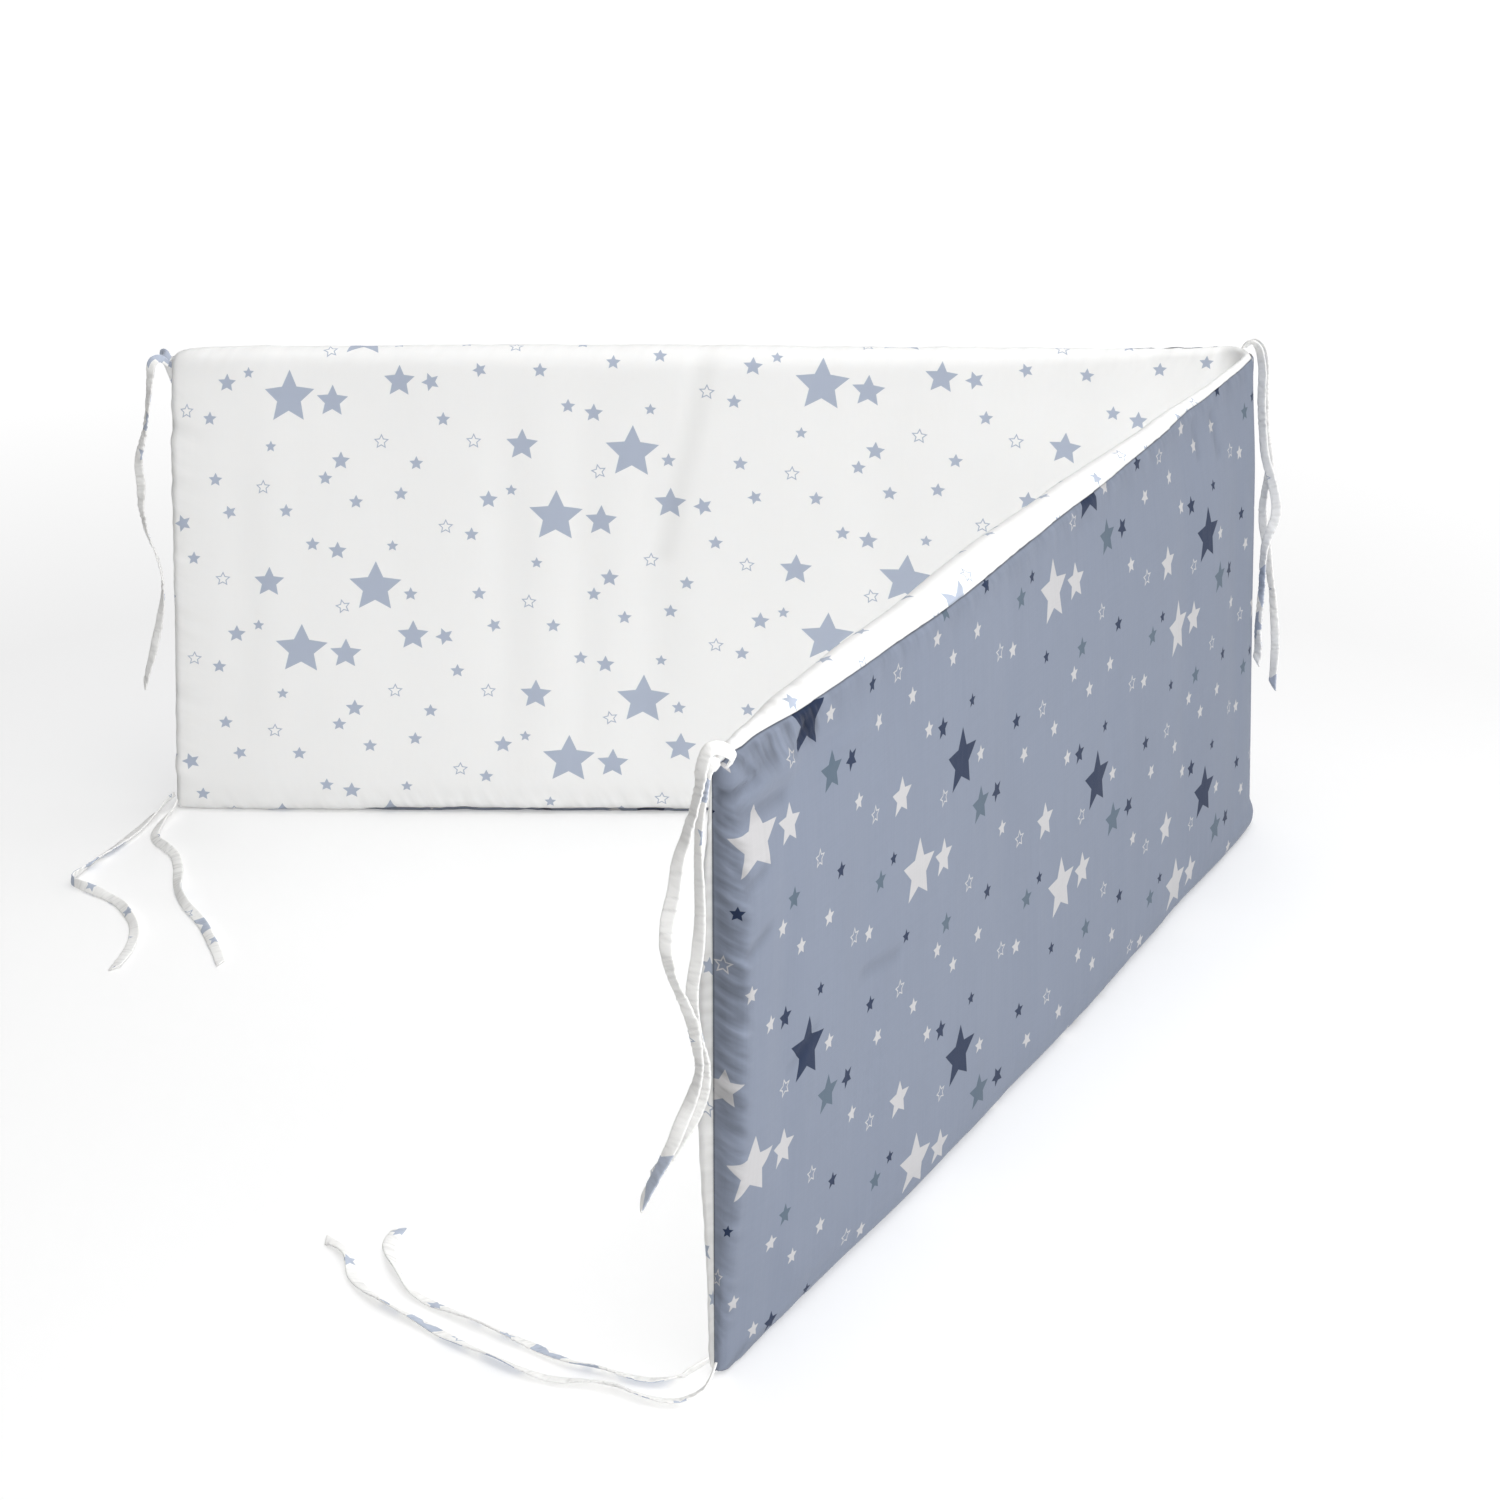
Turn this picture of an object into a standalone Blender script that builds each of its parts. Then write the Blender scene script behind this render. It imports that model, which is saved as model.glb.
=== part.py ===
"""Padded crib bumper folded into a V, with ten ribbon ties.

The pad stands on its long bottom edge on z = 0. It is one filled solid: a left half that runs across the
picture and shows its inner face, a rounded stitched fold, and a near half that comes forward and shows its
outer face. Every tie is a pair of free ribbon ends sewn into a corner.

Metres, +Z up, +X to the right, +Y away from the viewer. The origin is under the middle of the pad.
"""

import math

import bmesh
import bpy
from mathutils import Matrix, Vector

MM = 0.001

# The pad
HEIGHT = 0.300
HALF_LENGTH = 0.650  # of the centre line, from either end to the middle of the fold
FOLD_RADIUS = 0.018
LEFT_HEADING = math.radians(-1.0)  # from the left end towards the fold
NEAR_HEADING = math.radians(-119.5)  # from the fold towards the near end
FOLD_CORNER = Vector((0.3339, 0.2784))  # where the two halves' lines would meet
# How far each upright edge's foot stands out from, and its top lies in from, its place at mid-height
LEFT_SPREAD = 0.0108
FOLD_SPREAD = 0.0100
NEAR_SPREAD = 0.0030
LEFT_TUCK = 0.0020  # how far the left end is drawn in along its half

# The rounding of the pad's cross-section and ends
FOOT_ROUND = 0.010
FOOT_SINK = 0.0016  # how far the round foot is pressed flat by the pad's weight
NEAR_FOOT_TAPER = 0.110  # the height over which the near end grows from its thin foot
NEAR_TAPER_START = 1.24
NEAR_TAPER_RUN = 0.05
TOP_BLEND = 0.070  # the height over which the top edge grows to the body's thickness
BULGE = 0.05  # the crown at mid-height, as a share of the thickness
END_ROUND = 0.007
END_POWER = 3.0  # a squarish rounding
END_THINNEST = 0.35
CORNER_ROUND = 0.011
CORNER_DROP = 0.005
CORNER_LIFT = 0.0015

# Columns: distance along the centre line, top of the pad, then the thickness of the body, at the top edge and
# at the foot
PROFILE = (
    (0.000, 0.2960, 0.0200, 0.0150, 0.0185),
    (0.060, 0.2975, 0.0235, 0.0180, 0.0215),
    (0.200, 0.2990, 0.0245, 0.0220, 0.0225),
    (0.330, 0.3000, 0.0250, 0.0240, 0.0230),
    (0.450, 0.2995, 0.0245, 0.0210, 0.0225),
    (0.560, 0.2995, 0.0230, 0.0150, 0.0210),
    (0.620, 0.3005, 0.0150, 0.0090, 0.0170),
    (0.650, 0.3030, 0.0085, 0.0065, 0.0145),
    (0.690, 0.3005, 0.0140, 0.0065, 0.0160),
    (0.757, 0.2985, 0.0225, 0.0085, 0.0205),
    (0.820, 0.2985, 0.0240, 0.0135, 0.0220),
    (0.940, 0.2995, 0.0250, 0.0205, 0.0230),
    (1.070, 0.3000, 0.0255, 0.0245, 0.0235),
    (1.180, 0.2990, 0.0245, 0.0200, 0.0225),
    (1.240, 0.2975, 0.0240, 0.0165, 0.0205),
    (1.275, 0.2945, 0.0235, 0.0120, 0.0150),
    (1.300, 0.2915, 0.0220, 0.0100, 0.0100),
)
# Columns: distance along the centre line, how far the top and the foot bow towards the outer face
BOW = (
    (0.000, 0.0000, 0.0000),
    (0.300, -0.0015, 0.0010),
    (0.620, 0.0000, 0.0000),
    (0.700, -0.0015, 0.0020),
    (0.780, -0.0035, 0.0010),
    (0.850, -0.0020, 0.0035),
    (0.930, -0.0020, 0.0045),
    (1.010, -0.0008, 0.0043),
    (1.140, 0.0038, 0.0045),
    (1.230, 0.0045, 0.0024),
    (1.300, 0.0050, 0.0036),
)
# Soft upright creases. Columns: distance along the centre line, half width, depth in the inner and in the
# outer face
CREASES = (
    (0.045, 0.020, 0.0010, 0.0004),
    (0.205, 0.022, 0.0012, 0.0002),
    (0.250, 0.018, 0.0010, 0.0000),
    (0.293, 0.022, 0.0013, 0.0003),
    (0.430, 0.026, 0.0007, 0.0004),
    (0.700, 0.022, 0.0006, 0.0008),
    (0.790, 0.026, 0.0003, 0.0009),
    (0.905, 0.024, 0.0004, 0.0007),
    (1.045, 0.026, 0.0004, 0.0006),
    (1.190, 0.022, 0.0006, 0.0008),
    (1.262, 0.018, 0.0008, 0.0014),
)
SIDE_STEPS = 11  # faces up each side of the cross-section
ARC_STEPS = 6  # faces round its top and round its foot
END_INSETS = (0.0, 0.0008, 0.0025, 0.0060, 0.0130)  # stations that round off either end
LONG_STEP = 0.0145  # spacing of the other stations
FOLD_STEP = 0.0050
FOLD_ZONE = 0.030

# The ties
TIE_WIDTH = 0.0060
TIE_THICKNESS = 0.0014
TIE_SIDES = 8
TIE_STEP = 0.0050
ROOT_WIDTH = 0.0040  # gathered where it is sewn in
ROOT_RUN = 0.016
FLOOR_CLEARANCE = 0.0002
RIBBON_FLATNESS = 0.5  # the powers of the cosine and the sine that square off a ribbon's section
RIBBON_EDGE = 0.4
CURVE_SAMPLES = 12  # between two rows of a tie's route

HANGING = Vector((0.0, 1.0, 0.0))  # a turn of 0 shows a hanging tie's face to the viewer
LYING = Vector((0.0, 0.0, 1.0))  # a turn of 0 lays a tie flat on the surface

# Routes of the ties' middles. Columns: x, y, z in millimetres, turn about the route in degrees
TIES = {
    "tie_left_top_front": (HANGING, (
        (-317.3, 287, 287, 50), (-321, 283, 291.5, 40), (-325.5, 280, 289, 20), (-328, 279, 274, 50),
        (-332, 279, 252, 60), (-338, 279, 232, 35), (-338, 279, 216, 20), (-339, 279, 201, 45),
        (-337, 279, 185, 60), (-333, 279, 172, 75), (-330.5, 279, 159, 80), (-331, 279, 144, 60),
        (-334, 279, 130, 40), (-338, 279, 116, 30), (-342, 279, 102, 45), (-347, 279, 87, 60))),
    "tie_left_top_back": (HANGING, (
        (-317.2, 293.5, 287.2, 40), (-321, 298, 290.5, 40), (-323, 303, 288, 30), (-320, 307, 277, 10),
        (-316, 308, 262, 0), (-313, 308, 242, 20), (-315, 308, 220, 30), (-318, 308, 198, 10),
        (-318, 308, 176, -10), (-317, 308, 153, -20), (-320, 308, 131, 0), (-324, 308, 109, 20),
        (-327, 308, 88, 25), (-326, 308, 66, 10))),
    "tie_left_bottom_left": (LYING, (
        (-337.0, 288, 9, 75), (-341.5, 283, 6, 70), (-347, 271, 1, 40), (-353, 250, 1, 15),
        (-361, 227, 1, 25), (-369, 206, 1, 45), (-374, 190, 1, 60), (-377, 178, 1, 80),
        (-371, 170, 1, 75), (-360, 163, 1, 45), (-350, 156, 1, 20), (-342, 147, 1, 25),
        (-335, 134, 1, 40), (-329, 121, 1, 30), (-326, 107, 1, 10), (-326, 92, 1, 5),
        (-329, 70, 1, 10))),
    "tie_left_bottom_right": (LYING, (
        (-334.3, 281.5, 7.3, 75), (-336, 276.5, 4, 70), (-339, 266, 1, 45), (-341, 254, 1, 25),
        (-341, 243, 1, 20), (-337, 232, 1, 35), (-330, 223, 1, 40), (-323, 213, 1, 20),
        (-318, 197, 1, 10), (-315, 180, 1, 25), (-311, 162, 1, 50), (-304, 146, 1, 40),
        (-296, 134, 1, 15), (-289, 121, 1, 20), (-283, 106, 1, 30), (-276, 90, 1, 10),
        (-271, 76, 1, 0))),
    "tie_near_top_left": (HANGING, (
        (17.0, -298.6, 287.0, 60), (18.5, -303, 293, 60), (14, -307, 298, 50), (9, -309, 298, 50),
        (6.5, -311, 291, 40), (5, -311, 279, 60), (1, -311, 265, 55), (-3, -311, 251, 35),
        (-5, -311, 237, 25), (-8, -311, 222, 15), (-8, -311, 209, 30), (-5, -311, 197, 45),
        (-1, -311, 187, 35), (2, -311, 177, 30), (4, -311, 165, 45), (4, -311, 154, 60),
        (1, -311, 143, 40), (-3, -311, 132, 20), (-7, -311, 121, 35), (-12, -311, 110, 55),
        (-20, -311, 93, 65))),
    "tie_near_top_right": (HANGING, (
        (12.3, -298.6, 285.8, 50), (11.5, -303, 290, 50), (8, -305, 286, 40), (6, -304.5, 272, 50),
        (5, -304, 256, 60), (5, -304, 238, 50), (5, -304, 220, 40), (4, -304, 205, 30),
        (2, -304, 192, 30), (2, -304, 181, 35), (4, -304, 168, 45), (6.5, -304, 156, 40),
        (6, -304, 143, 25), (2, -304, 131, 20), (-3, -304, 121, 40), (-8, -304, 112, 50),
        (-16, -304, 100, 40))),
    "tie_near_bottom_right": (LYING, (
        (7.4, -301.4, 7.6, 75), (0, -305, 5, 65), (-8, -307.5, 1, 40), (-18, -308, 1, 20),
        (-29, -305, 1, 30), (-41, -300, 1, 45), (-54, -295, 1, 30), (-67, -286, 1, 15),
        (-81, -277, 1, 30), (-94, -268, 1, 45), (-107, -259, 1, 30), (-118, -251, 1, 15),
        (-128, -242, 1, 35), (-136, -228, 1, 55), (-141, -214, 1, 30), (-143, -202, 1, 10),
        (-140, -191, 1, 5))),
    "tie_near_bottom_left": (LYING, (
        (10.3, -303.4, 6.5, 75), (8, -310, 4, 65), (3, -318, 1, 35), (-7, -323, 1, 20),
        (-20, -320, 1, 35), (-33, -313, 1, 50), (-46, -309, 1, 30), (-59, -307, 1, 15),
        (-72, -302, 1, 30), (-86, -293, 1, 45), (-99, -284, 1, 30), (-112, -274, 1, 15),
        (-124, -264, 1, 30), (-137, -254, 1, 45), (-148, -243, 1, 30), (-156, -230, 1, 15),
        (-160, -216, 1, 35), (-166, -206, 1, 20), (-173, -199, 1, 0))),
    "tie_fold_top_front": (HANGING, (
        (311.1, 263.4, 303.8, 40), (312.4, 259.5, 307, 40), (315, 256, 308, 45), (318.5, 254, 304, 50),
        (321, 253.5, 292, 50), (321.5, 254, 280, 50), (322.5, 254, 267, 50), (324, 254, 255, 50),
        (326, 254, 242, 45), (330, 254, 230, 40), (333, 254, 220, 35), (335, 254, 211, 30),
        (335, 254, 203, 25), (333, 254, 196, 35), (331, 254, 189, 50), (330, 254, 182, 60),
        (330, 254, 171, 65), (330, 254, 158, 65), (330, 254, 145, 60), (330, 254, 131, 60),
        (331, 254, 120, 55), (330.5, 254, 112, 50))),
    "tie_fold_top_back": (HANGING, (
        (312.1, 267.7, 302.8, 40), (315.5, 266.4, 306, 40), (319, 264, 306.5, 45), (322.5, 262, 300.5, 50),
        (324, 262, 289, 50), (324.5, 262, 278, 50), (325.5, 262, 265, 45), (327, 262, 252, 40),
        (329.5, 262, 241, 40), (331, 262, 231, 50), (330.5, 262, 224, 60), (329.5, 262, 215, 60),
        (329, 262, 206, 50), (330, 262, 195, 40), (332, 262, 187, 35), (334, 262, 178, 45),
        (336, 262, 166, 55), (338.5, 262, 153, 60), (340, 262, 142, 50), (342, 262, 128, 40),
        (343, 262, 114, 45), (343, 262, 102, 55), (343, 262, 93, 50))),
}

# Finishes: colour, roughness
CLOTH_PAD = ((0.62, 0.66, 0.73), 0.9)
CLOTH_TIE = ((0.86, 0.86, 0.85), 0.9)


def ease(share):
    """A share from 0 to 1 with level ends."""
    share = min(max(share, 0.0), 1.0)
    return share * share * (3.0 - 2.0 * share)


def read_table(rows, place, column):
    """A column of a table at a place along the centre line, blended softly between its rows."""
    for before, after in zip(rows, rows[1:]):
        if place <= after[0]:
            share = ease((place - before[0]) / (after[0] - before[0]))
            return before[column] + (after[column] - before[column]) * share
    return rows[-1][column]


def compass(heading):
    """The unit vector of a heading in plan."""
    return Vector((math.cos(heading), math.sin(heading)))


def centre_line(along):
    """Plan place and heading of the pad's centre line at a distance from its left end."""
    turn = LEFT_HEADING - NEAR_HEADING
    bend = FOLD_RADIUS * turn
    into_fold = along - (HALF_LENGTH - bend / 2)
    fold_start = FOLD_CORNER - compass(LEFT_HEADING) * FOLD_RADIUS * math.tan(turn / 2)
    if into_fold <= 0:
        return fold_start + compass(LEFT_HEADING) * into_fold, LEFT_HEADING
    centre = fold_start + compass(LEFT_HEADING - math.pi / 2) * FOLD_RADIUS
    heading = LEFT_HEADING - min(into_fold, bend) / FOLD_RADIUS
    place = centre + compass(heading + math.pi / 2) * FOLD_RADIUS
    return place + compass(heading) * max(into_fold - bend, 0.0), heading


def lean(along, height):
    """How far the soft cloth stands out in plan at this height: its foot outwards, its top inwards."""
    fold_share = 1.0 - abs(along - HALF_LENGTH) / HALF_LENGTH
    outwards = compass(LEFT_HEADING) - compass(NEAR_HEADING)
    at_end = -compass(LEFT_HEADING) * LEFT_SPREAD
    if along > HALF_LENGTH:
        at_end = compass(NEAR_HEADING) * NEAR_SPREAD
    spread = outwards.normalized() * FOLD_SPREAD * fold_share + at_end * (1.0 - fold_share)
    moved = spread * (1.0 - 2.0 * height / HEIGHT)
    if along < HALF_LENGTH:
        moved += compass(LEFT_HEADING) * LEFT_TUCK * (1.0 - fold_share)
    return moved


def stations():
    """Distances along the centre line at which the pad has a cross-section."""
    length = 2 * HALF_LENGTH
    inner_end = END_INSETS[-1]
    zone = HALF_LENGTH - FOLD_ZONE
    long_count = math.ceil((zone - inner_end) / LONG_STEP)
    fold_count = math.ceil(2 * FOLD_ZONE / FOLD_STEP)
    left = [inner_end + (zone - inner_end) * i / long_count for i in range(1, long_count)]
    fold = [zone + 2 * FOLD_ZONE * i / fold_count for i in range(fold_count + 1)]
    near = [length - place for place in reversed(left)]
    near_end = [length - inset for inset in reversed(END_INSETS)]
    return list(END_INSETS) + left + fold + near + near_end


def crease_depth(along, outer):
    """How deep the soft creases are in one face at a distance along the pad."""
    depth = 0.0
    for place, half_width, inner_depth, outer_depth in CREASES:
        reach = abs(along - place) / half_width
        if reach < 1.0:
            depth += (outer_depth if outer else inner_depth) * 0.5 * (1.0 + math.cos(math.pi * reach))
    return depth


def section_point(step, along):
    """Distance out from the centre line and height of one point of the cross-section there.

    The steps run up the outer side, over the top, down the inner side and round the foot.
    """
    from_end = min(along, 2 * HALF_LENGTH - along)
    rounded = 1.0 - max(0.0, 1.0 - from_end / END_ROUND) ** END_POWER
    thinned = max(END_THINNEST, rounded ** (1.0 / END_POWER))
    corner = max(0.0, 1.0 - from_end / CORNER_ROUND) ** 2
    top = read_table(PROFILE, along, 1) - CORNER_DROP * corner
    body = read_table(PROFILE, along, 2) / 2 * thinned
    edge = read_table(PROFILE, along, 3) / 2 * thinned
    foot = read_table(PROFILE, along, 4) / 2 * thinned

    over_top = step - SIDE_STEPS
    down_inner = over_top - ARC_STEPS
    round_foot = down_inner - SIDE_STEPS
    if round_foot >= 0:
        angle = math.pi * (1.0 + round_foot / ARC_STEPS)
        height = FOOT_ROUND + (FOOT_ROUND + FOOT_SINK) * math.sin(angle)
        return foot * math.cos(angle), max(height, 0.0) + CORNER_LIFT * corner
    if 0 <= over_top <= ARC_STEPS:
        angle = math.pi * over_top / ARC_STEPS
        return edge * math.cos(angle), top - edge + edge * math.sin(angle)

    outer = over_top < 0
    share = step / SIDE_STEPS if outer else 1.0 - down_inner / SIDE_STEPS
    height = FOOT_ROUND + share * (top - edge - FOOT_ROUND)
    thick = body * (1.0 + BULGE * math.sin(math.pi * height / HEIGHT))
    thick += (edge - thick) * ease((height - (top - edge - TOP_BLEND)) / TOP_BLEND)
    taper = FOOT_ROUND + NEAR_FOOT_TAPER * ease((along - NEAR_TAPER_START) / NEAR_TAPER_RUN)
    thick += (foot - thick) * ease(1.0 - (height - FOOT_ROUND) / taper)
    thick -= crease_depth(along, outer) * math.sin(math.pi * share) * thinned
    return (thick if outer else -thick), height


def pad_point(step, along):
    """The place of one point of the pad's surface."""
    out, height = section_point(step, along)
    place, heading = centre_line(along)
    bow_top = read_table(BOW, along, 1)
    bow_foot = read_table(BOW, along, 2)
    out += bow_foot + (bow_top - bow_foot) * height / HEIGHT
    plan = place + compass(heading + math.pi / 2) * out + lean(along, height)
    return Vector((plan.x, plan.y, height))


def cut_cylinder(sides, rings):
    """A capped cylinder along Z from 0 to 1, cut into rings, as a bmesh."""
    mesh = bmesh.new()
    bmesh.ops.create_cone(mesh, cap_ends=True, segments=sides, radius1=1.0, radius2=1.0, depth=1.0,
                          matrix=Matrix.Translation((0.0, 0.0, 0.5)))
    uprights = [edge for edge in mesh.edges if abs(edge.verts[0].co.z - edge.verts[1].co.z) > 0.5]
    bmesh.ops.subdivide_edges(mesh, edges=uprights, cuts=rings - 2, use_grid_fill=True)
    return mesh


def finish(name, finish_values, mesh, collection):
    """Turns a bmesh into a named object with its own material."""
    bmesh.ops.triangulate(mesh, faces=mesh.faces[:])
    bmesh.ops.recalc_face_normals(mesh, faces=mesh.faces[:])
    data = bpy.data.meshes.new(name)
    mesh.to_mesh(data)
    mesh.free()
    colour, roughness = finish_values
    material = bpy.data.materials.new(name + "_cloth")
    material.use_nodes = True
    shader = material.node_tree.nodes["Principled BSDF"]
    shader.inputs["Base Color"].default_value = (*colour, 1.0)
    shader.inputs["Roughness"].default_value = roughness
    shader.inputs["Metallic"].default_value = 0.0
    data.materials.append(material)
    thing = bpy.data.objects.new(name, data)
    collection.objects.link(thing)
    return thing


def make_pad(collection):
    """The padded panel: a cylinder whose rings become the pad's cross-sections."""
    places = stations()
    sides = 2 * (SIDE_STEPS + ARC_STEPS)
    mesh = cut_cylinder(sides, len(places))
    for vert in mesh.verts:
        step = round(math.atan2(vert.co.y, vert.co.x) / (2 * math.pi) * sides) % sides
        ring = round(vert.co.z * (len(places) - 1))
        vert.co = pad_point(step, places[ring])
    return finish("padded_panel", CLOTH_PAD, mesh, collection)


def smooth_route(rows):
    """Evenly spaced (place, turn) along a smooth curve through a route's rows."""
    points = [Vector(row) for row in rows]
    points = [2 * points[0] - points[1]] + points + [2 * points[-1] - points[-2]]
    dense = []
    for before, start, end, after in zip(points, points[1:], points[2:], points[3:]):
        for i in range(CURVE_SAMPLES):
            t = i / CURVE_SAMPLES
            dense.append(0.5 * (2 * start + (end - before) * t
                                + (2 * before - 5 * start + 4 * end - after) * t ** 2
                                + (3 * start - before - 3 * end + after) * t ** 3))
    dense.append(points[-2])
    reach = [0.0]
    for start, end in zip(dense, dense[1:]):
        reach.append(reach[-1] + (end.xyz - start.xyz).length * MM)
    count = math.ceil(reach[-1] / TIE_STEP)
    even = []
    leg = 0
    for i in range(count + 1):
        wanted = reach[-1] * i / count
        while leg < len(dense) - 2 and reach[leg + 1] < wanted:
            leg += 1
        mixed = dense[leg].lerp(dense[leg + 1], (wanted - reach[leg]) / (reach[leg + 1] - reach[leg]))
        even.append((mixed.xyz * MM, math.radians(mixed.w)))
    return even


def make_tie(name, facing, rows, collection):
    """One free ribbon end: a flat cylinder whose rings follow the route and turn about it."""
    route = smooth_route(rows)
    mesh = cut_cylinder(TIE_SIDES, len(route))
    frames = []
    for i, (place, turn) in enumerate(route):
        ahead = route[min(i + 1, len(route) - 1)][0] - route[max(i - 1, 0)][0]
        forward = ahead.normalized()
        across = Matrix.Rotation(turn, 3, forward) @ forward.cross(facing).normalized()
        grown = ease(i * TIE_STEP / ROOT_RUN)
        half_width = (ROOT_WIDTH + (TIE_WIDTH - ROOT_WIDTH) * grown) / 2
        if facing is LYING:
            lowest = half_width * abs(across.z) + TIE_THICKNESS / 2 + FLOOR_CLEARANCE
            place = Vector((place.x, place.y, max(place.z, lowest)))
        frames.append((place, across * half_width, forward.cross(across) * TIE_THICKNESS / 2))
    for vert in mesh.verts:
        angle = math.atan2(vert.co.y, vert.co.x)
        place, across, through = frames[round(vert.co.z * (len(route) - 1))]
        flat = math.copysign(abs(math.cos(angle)) ** RIBBON_FLATNESS, math.cos(angle))
        thick = math.copysign(abs(math.sin(angle)) ** RIBBON_EDGE, math.sin(angle))
        vert.co = place + across * flat + through * thick
    return finish(name, CLOTH_TIE, mesh, collection)


def main():
    """Clears the scene and makes the bumper."""
    for thing in list(bpy.data.objects):
        bpy.data.objects.remove(thing, do_unlink=True)
    collection = bpy.data.collections.new("crib_bumper")
    bpy.context.scene.collection.children.link(collection)
    make_pad(collection)
    for name, (facing, rows) in TIES.items():
        make_tie(name, facing, rows, collection)


if __name__ == "__main__":
    main()
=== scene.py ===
"""Dresses the crib bumper: one padded panel folded into a V, and ten limp ribbon ties.

The panel is two star-printed cloths sewn round a soft filling. The pale inner cloth wraps over the top edge,
and the blue-grey outer cloth wraps under the foot and round the near end, so the seams run along the outer top
edge, down both ends and along the inner foot. The ties are ribbons of the pale cloth.

Metres, +Z up. The panel stands on z = 0, and the viewer looks along +Y.
"""

from __future__ import annotations

import logging
import math
from dataclasses import dataclass, field
from enum import Enum

import bmesh
import bpy
from mathutils import Matrix, Vector, noise

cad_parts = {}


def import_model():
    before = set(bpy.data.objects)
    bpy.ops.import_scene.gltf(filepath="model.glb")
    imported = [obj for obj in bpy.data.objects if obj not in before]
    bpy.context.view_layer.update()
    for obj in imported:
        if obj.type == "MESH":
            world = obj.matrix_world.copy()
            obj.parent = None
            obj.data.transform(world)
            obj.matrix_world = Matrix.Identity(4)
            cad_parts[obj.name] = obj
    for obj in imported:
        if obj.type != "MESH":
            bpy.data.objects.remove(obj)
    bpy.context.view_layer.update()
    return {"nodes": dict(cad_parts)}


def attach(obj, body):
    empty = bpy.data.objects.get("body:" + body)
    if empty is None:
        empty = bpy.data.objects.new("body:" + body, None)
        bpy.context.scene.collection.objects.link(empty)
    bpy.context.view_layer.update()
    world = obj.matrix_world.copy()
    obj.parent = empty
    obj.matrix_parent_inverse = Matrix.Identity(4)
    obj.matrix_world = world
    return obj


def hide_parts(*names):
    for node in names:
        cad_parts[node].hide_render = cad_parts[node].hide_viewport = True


LOG = logging.getLogger("crib_bumper")
MM = 0.001
CM = 0.01
BODY = "root"
CLOTH_MAP = "Cloth"  # the UV map in which one unit is one metre of cloth
SEAM_ATTRIBUTE = "seam_distance"
# The materials turn the hollow attribute into painted shade in the puckers' troughs
HOLLOW_ATTRIBUTE = "hollow"  # how deep in a pucker the cloth is, from 0 to 1
PLACE_ATTRIBUTE = "seam_place"  # how far along the nearest seam
# The gather attribute sets the gathers' bumps and their painted light and shade
GATHER_ATTRIBUTE = "gather"  # how tightly the seam gathers the cloth, from 0 to 1
GATHER_SLANT = 0.45  # how far the gathers fall as they leave their seam


# ---------------------------------------------------------------- small helpers


def ease(share: float) -> float:
    """A share from 0 to 1 with level ends."""
    share = min(max(share, 0.0), 1.0)
    return share * share * (3.0 - 2.0 * share)


def compass(heading: float) -> Vector:
    """The unit vector of a heading in plan."""
    return Vector((math.cos(heading), math.sin(heading)))


def read_table(rows: tuple, place: float, column: int) -> float:
    """Reads a column of a table, blended softly between its rows.

    Args:
        rows: Rows whose first column is a place along the centre line, in rising order.
        place: Where to read.
        column: Which column to read.

    Returns:
        The blended value.
    """
    for before, after in zip(rows, rows[1:]):
        if place <= after[0]:
            share = ease((place - before[0]) / (after[0] - before[0]))
            return before[column] + (after[column] - before[column]) * share
    return rows[-1][column]


def ripple(place: float, spacing: float, row: float = 0.0) -> float:
    """Smooth uneven waves, from about -1 to 1.

    Args:
        place: Distance along the waves.
        spacing: Rough distance between two crests.
        row: Picks one of many unlike rows of waves.

    Returns:
        The waves' height there.
    """
    return noise.noise(Vector((place * 2.0 / spacing, row * 7.31, 0.37 * row)))


def open_cylinder(sides: int, rings: int, capped: bool) -> bmesh.types.BMesh:
    """Makes a cylinder along Z from 0 to 1, cut into rings.

    Args:
        sides: Points round each ring.
        rings: Rings along its length.
        capped: Whether its ends are closed.

    Returns:
        The cylinder as a bmesh.
    """
    mesh = bmesh.new()
    bmesh.ops.create_cone(mesh, cap_ends=capped, segments=sides, radius1=1.0, radius2=1.0, depth=1.0,
                          matrix=Matrix.Translation((0.0, 0.0, 0.5)))
    uprights = [edge for edge in mesh.edges if abs(edge.verts[0].co.z - edge.verts[1].co.z) > 0.5]
    bmesh.ops.subdivide_edges(mesh, edges=uprights, cuts=rings - 2, use_grid_fill=True)
    return mesh


def side_and_ring(vert: bmesh.types.BMVert, sides: int, rings: int) -> tuple[int, int]:
    """Which side and ring of an open_cylinder a point is on, before it is moved."""
    side = round(math.atan2(vert.co.y, vert.co.x) / (2 * math.pi) * sides) % sides
    return side, round(vert.co.z * (rings - 1))


def add_piece(name: str, mesh: bmesh.types.BMesh, materials: list[bpy.types.Material]) -> bpy.types.Object:
    """Turns a bmesh into a smooth piece that rides on the bumper's body.

    Args:
        name: The piece's name.
        mesh: Its shape, which is freed.
        materials: One material for each material index in the mesh.

    Returns:
        The new object.
    """
    data = bpy.data.meshes.new(name)
    mesh.to_mesh(data)
    mesh.free()
    for material in materials:
        data.materials.append(material)
    data.shade_smooth()
    piece = bpy.data.objects.new(name, data)
    bpy.context.scene.collection.objects.link(piece)
    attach(piece, BODY)
    return piece


# ---------------------------------------------------------------- shader groups


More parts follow.
